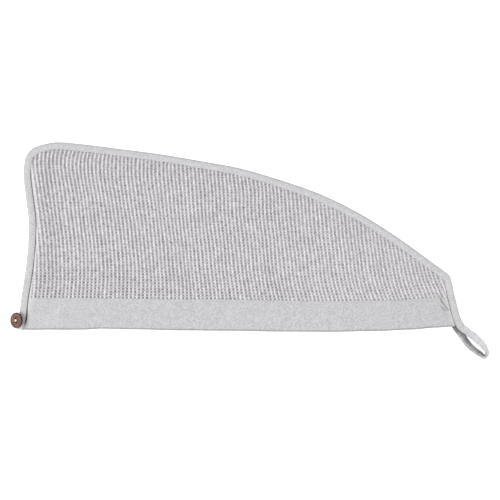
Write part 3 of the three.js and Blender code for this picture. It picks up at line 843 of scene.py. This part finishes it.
# Creases beside the right end of the band (across, height)
CREASES = [
    [(563.4, 43.6), (565.0, 39.0), (568.6, 33.8), (574.0, 26.6)],
    [(564.8, 31.4), (567.2, 28.6), (570.4, 25.6)],
]
CREASE_FOLD = [(564.2, 36.6), (568.0, 31.6), (573.2, 25.6)]


def crease_depth(places):
    """Share of the creases' depth at each place, and of the fold that stands between them."""
    depth = np.zeros(places.shape[:-1])
    for line in CREASES:
        depth = np.maximum(depth, np.exp(-((distance_to(np.array(line), places) / 0.75) ** 2)))
    fold = np.exp(-((distance_to(np.array(CREASE_FOLD), places) / 1.5) ** 2))
    return depth, fold


# From this height over the hem the bands lie over the waffle's tucked rows and are thinner
LAP_START = 40.4


def hem_bands():
    """Both plain bands along the open hem."""
    grid = band_grid()
    across, height = grid[..., 0], grid[..., 1]
    away = edge_distances(grid)
    inside = inset_of(away)
    free = smooth(inside, BINDING_WIDTH - 0.8, BINDING_WIDTH + 3.2)
    depth, fold = crease_depth(grid)
    reach = BAND_ROWS[:, None]
    lapped = reach >= LAP_START
    weave = np.stack(np.broadcast_arrays(across, reach), axis=-1)

    def rounded(wall):
        """How much of each side is taken off to round the hem."""
        inset = np.clip(1 - reach / 0.95, 0, 1)
        return wall / 2 * (1 - np.sqrt(1 - inset**2))

    wall = SEWN_WALL + (BAND_WALL - SEWN_WALL) * free
    under = UPPER_LEVEL + upper_lift(grid, away) + 0.9 * fold * free - 0.9 * depth * free
    crown = 0.25 * free
    bevel = rounded(wall + crown)
    drop = 0.55 * smooth(reach, 42.2, BAND_HEIGHT)
    top = under + wall + crown - bevel - drop
    bottom = np.where(lapped, under + 0.95, under + bevel)
    fields = groove_fields(grid, away)
    # Painted shade in the creases and along the hem's edge, and a painted highlight on the fold
    # between the creases
    hem_edge_shade = 0.37 * smooth(-reach, -2.8, -1.6)
    fields["shade"] = (1 - 0.62 * depth) * (1 - hem_edge_shade) + 0.05 * fold
    mesh = closed_sheet("front_band_cloth", stacked(across, height, top),
                        stacked(across, height, bottom), weave=weave, fields=fields)
    front = new_piece(
        "front_band_cloth", mesh, BAND_CLOTH, "band_cloth",
        "front_band_left", "front_band_middle", "front_band_right",
    )

    floor_free = smooth(inside, BINDING_WIDTH, BINDING_WIDTH + FLOOR_REACH)
    low = (TAPE_WALL + LAYER_GAP) * (1 - floor_free) + FLOOR_GAP
    wall = SEWN_WALL + (BAND_WALL - SEWN_WALL) * floor_free
    bevel = rounded(wall)
    top = low + np.where(lapped, 0.35, wall - bevel)
    bottom = low + np.where(lapped, 0.0, bevel)
    fields = {
        "shade": np.ones_like(depth),
        "groove_shade": np.zeros_like(depth),
        "edge_highlight": np.zeros_like(depth),
    }
    mesh = closed_sheet("back_band_cloth", stacked(across, height, top),
                        stacked(across, height, bottom), weave=weave, fields=fields)
    rear = new_piece("back_band_cloth", mesh, BAND_CLOTH, "band_cloth", "back_hem_band")
    return front, rear


front_band, back_band = hem_bands()

# Binding, stitches and loop


def line_frame(line):
    """Unit directions along a line and to its right, which is inwards on the outline."""
    along = np.gradient(line, axis=0)
    along /= np.linalg.norm(along, axis=1)[:, None]
    return along, np.stack([along[:, 1], -along[:, 0]], axis=1)


def wander(count, step, size, seed):
    """A smooth random wander along a line, with bumps about step samples long."""
    return size * soft_noise((1, count), (0.5, step), seed)[0]


# The binding's flaps: inset, then how far the upper one rises, then how much of its wall the
# rounding of the cut edge takes
LOWER_FLAP = [(BINDING_WIDTH, 1.0), (9.25, 0.45), (8.9, 0.12), (8.3, 0.0), (6.5, 0.0), (4.5, 0.0)]
UPPER_FLAP = [
    (3.6, 0.10, 0), (4.6, 0.16, 0), (5.6, 0.18, 0), (6.6, 0.12, 0), (7.3, 0.0, 0), (7.8, -0.12, 0),
    (8.3, 0.0, 0), (8.8, 0.04, 0.05), (9.15, -0.05, 0.3), (BINDING_WIDTH, -0.2, 1.0),
]


def binding_section():
    """The tape's section from the edge of its lower flap round to the edge of its upper flap.

    Each row is the inset and level of the outer side, then of the inner side.
    """
    section = []
    for inset, lip in LOWER_FLAP:
        section.append((inset, FLOOR_GAP + lip * 0.4, inset, TAPE_WALL - lip * 0.4))
    inner_radius = FOLD_RADIUS - TAPE_WALL
    for angle in np.radians(np.arange(0, 181, 15)):
        on_floor = FLOOR_GAP * (angle < 1)
        section.append((
            FOLD_RADIUS - FOLD_RADIUS * math.sin(angle),
            FOLD_RADIUS - FOLD_RADIUS * math.cos(angle) + on_floor,
            FOLD_RADIUS - inner_radius * math.sin(angle),
            FOLD_RADIUS - inner_radius * math.cos(angle),
        ))
    top = 2 * FOLD_RADIUS
    for inset, rise, lip in UPPER_FLAP:
        inner_level = top - TAPE_WALL + max(rise, 0) * 0.6 + lip * 0.3
        section.append((inset, top + rise - lip * 0.3, inset, inner_level))
    return np.array(section)


# Stitches of the binding: length and distance along it, inset, and how thick the thread is
STITCH_LENGTH = 2.6
STITCH_PITCH = 3.2
STITCH_INSET = 7.8
STITCH_RADIUS = 0.16

# The binding flares at the corner, where its tape turns into the loop
BINDING_PLACES = 460
FLARE_START = 17.0
FLARE = [(592.0, 13.2), (594.0, 9.6), (596.0, 6.2)]
before_flare = (outline_line[:, 0] < 560) | (outline_line[:, 1] > FLARE_START)
BINDING_LINE = evenly(np.vstack([outline_line[before_flare], FLARE]), BINDING_PLACES)
binding_along, binding_inward = line_frame(BINDING_LINE)

# How the upper flap's edge and its puckers wander along the binding
low_left = smooth(-BINDING_LINE[:, 1], -80, -40) * (BINDING_LINE[:, 0] < 100)
EDGE_WANDER = wander(BINDING_PLACES, 5, 0.16, 21) - LEFT_NARROWED * low_left
PUCKER = wander(BINDING_PLACES, 1.8, 0.10, 22)


def edge_binding():
    """The tape folded over both layers, a little uneven where it was gathered in sewing."""
    section = binding_section()
    inset_out, level_out, inset_in, level_in = section.T
    upper = smooth(level_out, 2.6, 4.6)
    flap = smooth(inset_out, 2.4, 9.0)

    def side(inset, level):
        """Places of one side of the tape, all along the binding."""
        shift = inset[None] + EDGE_WANDER[:, None] * (flap * upper)[None]
        places = BINDING_LINE[:, None] + binding_inward[:, None] * shift[..., None]
        lift = level[None] + PUCKER[:, None] * (upper * np.sin(np.pi * np.clip(flap, 0, 1)))[None]
        return stacked(places[..., 0], places[..., 1], lift)

    lengths = run_lengths(BINDING_LINE)
    widths = run_lengths(section[:, :2])
    weave = np.stack(np.broadcast_arrays(lengths[:, None], widths[None]), axis=-1)
    # Painted shade on the tape: along the stitch line, at the fold's outer edge and over its lower
    # half and the lower flap, and on the outer edge along the crown, with a painted highlight towards
    # the upper flap's inner edge along the crown; elsewhere 0.9 of the tape's colour
    seam = 0.07 * np.exp(-((inset_out - STITCH_INSET) / 0.35) ** 2) * upper
    turned = 0.10 * (1 - upper)
    on_crown = smooth(BINDING_LINE[:, 1], 60, 90) * smooth(binding_along[:, 0], 0.3, 0.8)
    outer = 0.24 * np.exp(-inset_out / 1.3) * upper
    fold_shade = 0.16 * np.exp(-((inset_out / 0.8) ** 2))
    inner = 0.06 * smooth(inset_out, 5.0, 9.0) * upper
    tone = 0.9 - (seam + turned + fold_shade)[None] + on_crown[:, None] * (inner - outer)[None]
    mesh = closed_sheet("binding_tape", side(inset_out, level_out), side(inset_in, level_in),
                        weave=weave, fields={"shade": tone})
    return new_piece("binding_tape", mesh, BINDING_TAPE, "binding_tape", "edge_binding")


binding = edge_binding()


def tube(bm, places, radius, sides=6):
    """A round-ended run of thread through places in mm."""
    places = [Vector(place) for place in places]
    rings = []
    for index, place in enumerate(places):
        before = places[max(index - 1, 0)]
        after = places[min(index + 1, len(places) - 1)]
        turn = (after - before).to_track_quat("Z", "Y").to_matrix().to_4x4()
        share = index / (len(places) - 1)
        thick = radius * max(math.sin(math.pi * min(max(share, 0.06), 0.94)) ** 0.35, 0.3)
        matrix = Matrix.Translation(to_metres(np.array(place))) @ turn
        ring = bmesh.ops.create_circle(
            bm, cap_ends=False, segments=sides, radius=thick * MM, matrix=matrix
        )["verts"]
        rings.append(ring)
    for ring, after in zip(rings, rings[1:]):
        edges = {edge for vert in ring + after for edge in vert.link_edges
                 if edge.verts[0] in ring and edge.verts[1] in ring
                 or edge.verts[0] in after and edge.verts[1] in after}
        bmesh.ops.bridge_loops(bm, edges=list(edges))
    for ring in (rings[0], rings[-1]):
        bmesh.ops.contextual_create(bm, geom=ring)


def finished_mesh(bm, name):
    """A mesh from finished bmesh work, its faces turned outwards."""
    bmesh.ops.recalc_face_normals(bm, faces=bm.faces[:])
    mesh = bpy.data.meshes.new(name)
    bm.to_mesh(mesh)
    bm.free()
    return mesh


def binding_stitches():
    """The line of stitches that holds the tape, near its inner edge."""
    line = BINDING_LINE + binding_inward * (STITCH_INSET + EDGE_WANDER * 0.9)[:, None]
    lengths = run_lengths(line)
    bm = bmesh.new()
    start = 2.0
    while start + STITCH_LENGTH < lengths[-1] - 2:
        at = start + np.array([0, 0.22, 0.5, 0.78, 1.0]) * STITCH_LENGTH
        across, height = (np.interp(at, lengths, line[:, axis]) for axis in range(2))
        pucker = np.interp(at, lengths, PUCKER)
        level = 2 * FOLD_RADIUS - 0.12 + pucker * 0.4 + np.array([-0.12, 0.1, 0.14, 0.1, -0.12])
        tube(bm, np.stack([across, height, level], axis=1), STITCH_RADIUS)
        start += STITCH_PITCH
    return new_piece("binding_stitches", finished_mesh(bm, "binding_stitches"), STITCH_THREAD,
                     "binding_tape")


stitches = binding_stitches()

LOOP_WIDTH = 9.0
LOOP_WALL = 1.8
LOOP_ROUNDING = 0.9
LOOP_SEAM = 2.7
LOOP_STITCH = 2.2
LOOP_STITCH_PITCH = 2.9
LOOP_STITCH_RADIUS = 0.14

# Where the loop's tape is sampled across, as shares of its half width
LOOP_ACROSS = np.array([
    -1.0, -0.99, -0.955, -0.875, -0.75, -0.675, -0.6, -0.4, -0.15, 0.15, 0.4, 0.6, 0.775, 0.875,
    0.955, 0.99, 1.0,
])

# Centre line of the loop's tape: across, height, roll in degrees, lift, extra width inwards
LOOP_ROUTE = [
    (588.4, 9.4, 0, 2.2, 1.2), (591.0, 5.4, 0, 2.2, 1.2), (595.2, 1.7, 0, 2.2, 1.0),
    (599.6, -1.5, 2, 1.95, 0.8), (604.1, -4.8, 4, 1.2, 1.1), (611.4, -10.6, 8, 0.4, 1.2),
    (618.0, -17.3, 18, 0, 0.8), (623.0, -24.0, 40, 0, 0), (625.7, -29.6, 58, 0, 0),
    (625.2, -34.4, 64, 0, 0.8), (621.6, -36.3, 60, 0, 1.6), (615.8, -32.5, 46, 0, 1.8),
    (609.1, -27.9, 42, 0, 1.7), (602.6, -22.2, 34, 0, 1.3), (597.0, -15.2, 20, 0, 0.9),
    (592.2, -8.2, 8, 0, 0.9), (587.6, -1.4, 3, 0.1, 0.5), (583.6, 4.4, 0, 1.0, 0),
    (580.8, 9.6, 0, 1.55, 0),
]
# Painted shade on the loop by place on the route: on its inner half, and over its whole width where
# it goes in under the corner
LOOP_SHADE = [
    (0, 0.0), (8.3, 0.0), (9.3, 0.7), (10.6, 0.74), (12, 0.6), (14, 0.75), (16, 0.82), (18, 0.9),
]
LOOP_UNDER = [(15.4, 0.0), (16.5, 0.55), (18, 0.8)]


def loop_frame(steps=12):
    """The loop's centres, directions across and through its tape, places on the route and widths."""
    route = np.array(LOOP_ROUTE)
    line, knots = smooth_curve(route[:, :2], steps)
    points = np.arange(len(route))
    roll = np.radians(np.interp(knots, points, route[:, 2]))
    lift = np.interp(knots, points, route[:, 3])
    extra = np.interp(knots, points, route[:, 4])
    outward = -line_frame(line)[1]
    widthway = stacked(outward[:, 0] * np.cos(roll), outward[:, 1] * np.cos(roll), np.sin(roll))
    inward = stacked(-outward[:, 0] * np.sin(roll), -outward[:, 1] * np.sin(roll), np.cos(roll))
    level = (LOOP_WIDTH / 2 + extra) * np.sin(roll) + LOOP_WALL / 2 * np.cos(roll) + lift
    return stacked(line[:, 0], line[:, 1], level), widthway, inward, knots, extra


LOOP_CENTRE, LOOP_WIDTHWAY, LOOP_INWARD, LOOP_KNOTS, LOOP_EXTRA = loop_frame()


def loop_painted_shade(across, seam):
    """Painted shade over the loop: dark on its inner side, along the hole's edge, near its start and
    under the corner, with a mottle that is strongest in the shade.
    """
    shadow = read_table(LOOP_SHADE, LOOP_KNOTS)[:, None]
    under = read_table(LOOP_UNDER, LOOP_KNOTS)[:, None]
    outer_share = (0.1 + 0.27 * smooth(LOOP_KNOTS, 9.6, 12))[:, None]
    late = smooth(LOOP_KNOTS, 13, 15)[:, None]
    inner = 1 - smooth(across[None], 0.1 - 2.0 * late, 1.0 + 2.6 * late)
    near_edge = smooth(-across, 3.3, 3.9)[None]
    tone = 1 - shadow * (outer_share + (1 - outer_share) * inner) - (0.08 * seam)[None]
    tone = (tone - 0.25 * near_edge * (1 - shadow)) * (1 - under)
    tone = tone * (1 - 0.1 * smooth(-LOOP_KNOTS, -5, -2))[:, None]
    return tone * (1 + (0.03 + 0.13 * shadow) * soft_noise(tone.shape, (2.2, 0.8), 23))


def closing_loop():
    """The tape loop, folded and stitched along its length, with rounded edges."""
    half = LOOP_WIDTH / 2
    across = LOOP_ACROSS * half
    edge = np.clip((np.abs(across) - (half - LOOP_ROUNDING)) / LOOP_ROUNDING, 0, 1)
    seam = np.exp(-(((across + LOOP_SEAM) / 0.3) ** 2))
    thick = LOOP_WALL / 2 * np.sqrt(1 - edge**2) * (1 - 0.16 * seam)
    centre, widthway, inward = (part[:, None] for part in (LOOP_CENTRE, LOOP_WIDTHWAY, LOOP_INWARD))
    widened = across[None] - LOOP_EXTRA[:, None] * (half - across[None]) / LOOP_WIDTH
    middle = centre + widthway * widened[..., None]
    # The end that is sewn in under the corner is pressed thin
    pressed_end = (1 - 0.8 * smooth(LOOP_KNOTS, 16.4, 17.4))[:, None, None]
    through = inward * thick[None, :, None] * pressed_end
    lengths = run_lengths(LOOP_CENTRE)
    weave = np.stack(np.broadcast_arrays(lengths[:, None], across[None] + half), axis=-1)
    mesh = closed_sheet("loop_tape", middle + through, middle - through, weave=weave,
                        fields={"shade": loop_painted_shade(across, seam)})
    return new_piece("loop_tape", mesh, BINDING_TAPE, "binding_tape", "closing_loop")


loop = closing_loop()


def loop_stitches():
    """Stitches along the open fold of the loop's tape, on its inner face."""
    lengths = run_lengths(LOOP_CENTRE)
    bm = bmesh.new()
    start = 6.0
    while start + LOOP_STITCH < lengths[-1] - 5:
        at = start + np.array([0, 0.25, 0.5, 0.75, 1.0]) * LOOP_STITCH
        parts = [
            np.stack([np.interp(at, lengths, values[:, axis]) for axis in range(3)], axis=1)
            for values in (LOOP_CENTRE, LOOP_WIDTHWAY, LOOP_INWARD)
        ]
        proud = np.array([-0.1, 0.08, 0.12, 0.08, -0.1]) + LOOP_WALL / 2 * 0.86
        line = parts[0] - parts[1] * LOOP_SEAM + parts[2] * proud[:, None]
        tube(bm, line, LOOP_STITCH_RADIUS)
        start += LOOP_STITCH_PITCH
    return new_piece("loop_stitches", finished_mesh(bm, "loop_stitches"), STITCH_THREAD,
                     "binding_tape")


loop_stitching = loop_stitches()

# Button and thread

BUTTON_RADIUS = 10.45
BUTTON_MIDDLE = (-5.7, 12.95)
BUTTON_THICKNESS = 3.2
BUTTON_TILT = math.radians(40)
BUTTON_TURN = math.radians(15)
HOLE_OFFSET = 2.6
HOLE_RADIUS = 1.15
BUTTON_SIDES = 96
HOLE_SIDES = 28
FACE_RECESS = 0.6
# Painted shade on the button: from this radius out, and in and round its holes
RIM_START = 9.5
RIM_SHADE = 0.12
RIM_ROUNDING = 0.9
BACK_ROUNDING = 0.8
RECESS_RADIUS = 7.2
button_back = BUTTON_RADIUS * math.sin(BUTTON_TILT) - BACK_ROUNDING * math.cos(BUTTON_TILT)
button_level = max(button_back, (BUTTON_RADIUS - BACK_ROUNDING) * math.sin(BUTTON_TILT))
button_foot = BUTTON_MIDDLE[0] + BUTTON_THICKNESS * math.sin(BUTTON_TILT)
BUTTON_PLACE = (
    Matrix.Translation((button_foot, BUTTON_MIDDLE[1], button_level))
    @ Matrix.Rotation(-BUTTON_TILT, 4, "Y")
    @ Matrix.Rotation(BUTTON_TURN, 4, "Z")
)
TO_ROW = Matrix.Translation(Vector(ORIGIN)) @ Matrix.Scale(MM, 4) @ BUTTON_PLACE


def ring_of(bm, radius, level, sides, centre=0.0):
    """A circle of vertices round a point of the button's middle line, in millimetres."""
    matrix = Matrix.Translation((0, centre, level))
    verts = bmesh.ops.create_circle(bm, cap_ends=False, segments=sides, radius=radius,
                                    matrix=matrix)["verts"]
    return verts, {edge for vert in verts for edge in vert.link_edges}


def lathe(bm, profile, sides, centre=0.0):
    """Joins circles of (radius, level) into a turned surface. Returns its end circles' edges."""
    rings = [ring_of(bm, radius, level, sides, centre) for radius, level in profile]
    loops = [list(edges) for _, edges in rings]
    for before, after in zip(loops, loops[1:]):
        bmesh.ops.bridge_loops(bm, edges=before + after)
    return loops[0], loops[-1]


def button_rim():
    """Turned profile of the button as (radius, level), from its sunk face round to its back."""
    top, radius = BUTTON_THICKNESS, BUTTON_RADIUS
    rim = [(RECESS_RADIUS, top - FACE_RECESS), (7.6, top - FACE_RECESS + 0.06), (8.0, top - 0.34),
           (8.35, top - 0.08), (8.8, top), (9.3, top - 0.05)]
    for turn in np.radians([15, 35, 55, 75, 90]):
        rim.append((radius - RIM_ROUNDING + RIM_ROUNDING * math.sin(turn),
                    top - RIM_ROUNDING + RIM_ROUNDING * math.cos(turn)))
    for turn in np.radians([0, 25, 50, 70, 90]):
        rim.append((radius - BACK_ROUNDING + BACK_ROUNDING * math.cos(turn),
                    BACK_ROUNDING - BACK_ROUNDING * math.sin(turn)))
    return rim + [(RECESS_RADIUS, 0.0)]


def wooden_button():
    """A turned disc with a rounded rim, a sunk face and two eased holes, with painted shade at the
    rim and holes.
    """
    bm = bmesh.new()
    top_edges, bottom_edges = lathe(bm, button_rim(), BUTTON_SIDES)
    face = BUTTON_THICKNESS - FACE_RECESS
    hole = [
        (HOLE_RADIUS + 1.0, face), (HOLE_RADIUS + 0.4, face), (HOLE_RADIUS + 0.1, face - 0.08),
        (HOLE_RADIUS, face - 0.28), (HOLE_RADIUS, 0.28), (HOLE_RADIUS + 0.1, 0.08),
        (HOLE_RADIUS + 0.4, 0.0), (HOLE_RADIUS + 1.0, 0.0),
    ]
    for side in (-1, 1):
        upper, lower = lathe(bm, hole, HOLE_SIDES, side * HOLE_OFFSET)
        top_edges += upper
        bottom_edges += lower
    bmesh.ops.triangle_fill(bm, use_beauty=True, edges=top_edges)
    bmesh.ops.triangle_fill(bm, use_beauty=True, edges=bottom_edges)
    # Painted shade: dark on the rim and back, darkest in and round the holes
    tone_layer = bm.verts.layers.float.new("shade")
    for vert in bm.verts:
        reach = math.hypot(vert.co.x, vert.co.y)
        near_hole = min(math.hypot(vert.co.x, vert.co.y - s * HOLE_OFFSET) for s in (-1, 1))
        on_face = reach < RIM_START and vert.co.z > BUTTON_THICKNESS / 2
        vert[tone_layer] = 1.0 if on_face else RIM_SHADE
        if near_hole < HOLE_RADIUS + 0.7:
            vert[tone_layer] = 0.0
    bmesh.ops.transform(bm, matrix=TO_ROW, verts=bm.verts[:])
    mesh = finished_mesh(bm, "wooden_button")
    return new_piece("wooden_button", mesh, BUTTON_WOOD, "button_wood", "button")


wooden_button()


# Strands over the button's face (sideways, lift), and the radii of the thread's parts
STRANDS = [(-1.05, 0.35), (-0.36, 0.62), (0.36, 0.62), (1.05, 0.35)]
STRAND_RADIUS = 0.42
HOLE_STRAND_RADIUS = 0.32
BACK_STRAND_RADIUS = 0.36
SHANK_RADIUS = 0.95
WINDING_RADIUS = 0.24
WINDING_TURNS = 5.2
WINDING_STEPS = 80


def on_button(local):
    """Places in the button's own millimetres as places in the drawing."""
    place = np.array(BUTTON_PLACE)
    return np.asarray(local, float) @ place[:3, :3].T + place[:3, 3]


def shank_and_winding(bm):
    """The thread from the button's back to the binding's fold, wound round with more of it."""
    height = BUTTON_MIDDLE[1]
    start = on_button((0, 0, -0.9))
    fold = np.array([float(outline_across("left", height)) - 0.3 - 1.1, height, FOLD_RADIUS])
    tube(bm, np.linspace(start, fold, 9), SHANK_RADIUS, 12)
    axis = (fold - start) / np.linalg.norm(fold - start)
    side_way = np.array([0.0, 1.0, 0.0])
    up_way = np.cross(axis, side_way)
    turns = np.linspace(0, WINDING_TURNS * 2 * math.pi, WINDING_STEPS)
    share = np.linspace(0.08, 0.94, WINDING_STEPS)[:, None]
    round_axis = np.cos(turns)[:, None] * side_way + np.sin(turns)[:, None] * up_way
    tube(bm, start + (fold - start) * share + SHANK_RADIUS * round_axis, WINDING_RADIUS, 6)


def sewing_thread():
    """Strands of thread over the face, down both holes, and the shank wound round behind."""
    face = BUTTON_THICKNESS - FACE_RECESS
    bm = bmesh.new()
    share = np.linspace(0, 1, 13)
    for spread, lift in STRANDS:
        along = (HOLE_OFFSET - 1.05) * np.sin(np.pi * (share - 0.5))
        across = spread * (0.3 + 0.7 * np.sin(np.pi * share))
        rise = face + 0.35 + lift * np.sin(np.pi * share) ** 0.7 - 2.2 * np.abs(2 * share - 1) ** 6
        tube(bm, on_button(stacked(across, along, rise)), STRAND_RADIUS, 8)
    share = np.linspace(0, 1, 7)
    levels = np.linspace(face - 1.0, -0.5, 6)
    for side in (-1, 1):
        for spread in (-0.35, 0.35):
            line = stacked(spread, side * (HOLE_OFFSET - 0.8), levels)
            tube(bm, on_button(line), HOLE_STRAND_RADIUS, 8)
        line = stacked(0 * share, side * HOLE_OFFSET * (1 - share) ** 0.8, -0.55 - 0.35 * share)
        tube(bm, on_button(line), BACK_STRAND_RADIUS, 8)
    shank_and_winding(bm)
    return new_piece("button_sewing", finished_mesh(bm, "button_sewing"), BUTTON_THREAD,
                     "button_thread", "button_thread")


sewing_thread()


# Floor, light and camera, in metres
FLOOR_SIZE = 4
FLOOR_DROP = 0.0003
FLOOR_GREY = 0.92
FLOOR_GLOW = 0.6
STUDIO_GLOW = 0.74
CAMERA_HEIGHT = 6.0
CAMERA_MIDDLE = (0.0006, 0.0003)
SENSOR = 36
FOCUS_LEVEL = 0.006
FIELD = 0.670


def paper_floor():
    """A plain pale floor that goes to white in the light, as behind the towel in the photo."""
    bm = bmesh.new()
    bmesh.ops.create_grid(bm, x_segments=1, y_segments=1, size=FLOOR_SIZE)
    bmesh.ops.translate(bm, verts=bm.verts, vec=(0, 0, -FLOOR_DROP))
    mesh = bpy.data.meshes.new("floor")
    bm.to_mesh(mesh)
    bm.free()
    n = Nodes("floor_paper")
    n.put(n.shader, "Base Color", (FLOOR_GREY, FLOOR_GREY, FLOOR_GREY, 1))
    n.put(n.shader, "Roughness", 0.9)
    n.put(n.shader, "Emission Color", (1, 1, 1, 1))
    n.put(n.shader, "Emission Strength", FLOOR_GLOW)
    mesh.materials.append(n.material)
    floor = bpy.data.objects.new("floor", mesh)
    bpy.context.scene.collection.objects.link(floor)


def studio_light():
    """Even white light from all round."""
    world = bpy.data.worlds.new("studio")
    bpy.context.scene.world = world
    world.use_nodes = True
    background = world.node_tree.nodes["Background"]
    background.inputs["Color"].default_value = (1, 1, 1, 1)
    background.inputs["Strength"].default_value = STUDIO_GLOW


def soft_box(name, place, size, power):
    """A square studio light aimed at the towel."""
    light = bpy.data.lights.new(name, "AREA")
    light.size = size
    light.energy = power
    lamp = bpy.data.objects.new(name, light)
    bpy.context.scene.collection.objects.link(lamp)
    lamp.location = place
    lamp.rotation_euler = (-Vector(place)).to_track_quat("-Z", "Y").to_euler()


def camera_above():
    """A camera looking straight down, its view as wide as the photo's."""
    camera = bpy.data.cameras.new("camera")
    camera.sensor_width = SENSOR
    camera.lens = SENSOR * (CAMERA_HEIGHT - FOCUS_LEVEL) / FIELD
    stand = bpy.data.objects.new("camera", camera)
    bpy.context.scene.collection.objects.link(stand)
    stand.location = (*CAMERA_MIDDLE, CAMERA_HEIGHT)
    bpy.context.scene.camera = stand
    bpy.context.scene.view_settings.view_transform = "Standard"


paper_floor()
studio_light()
soft_box("key", (-4.2, -2.4, 7.6), 3.6, 372)
camera_above()
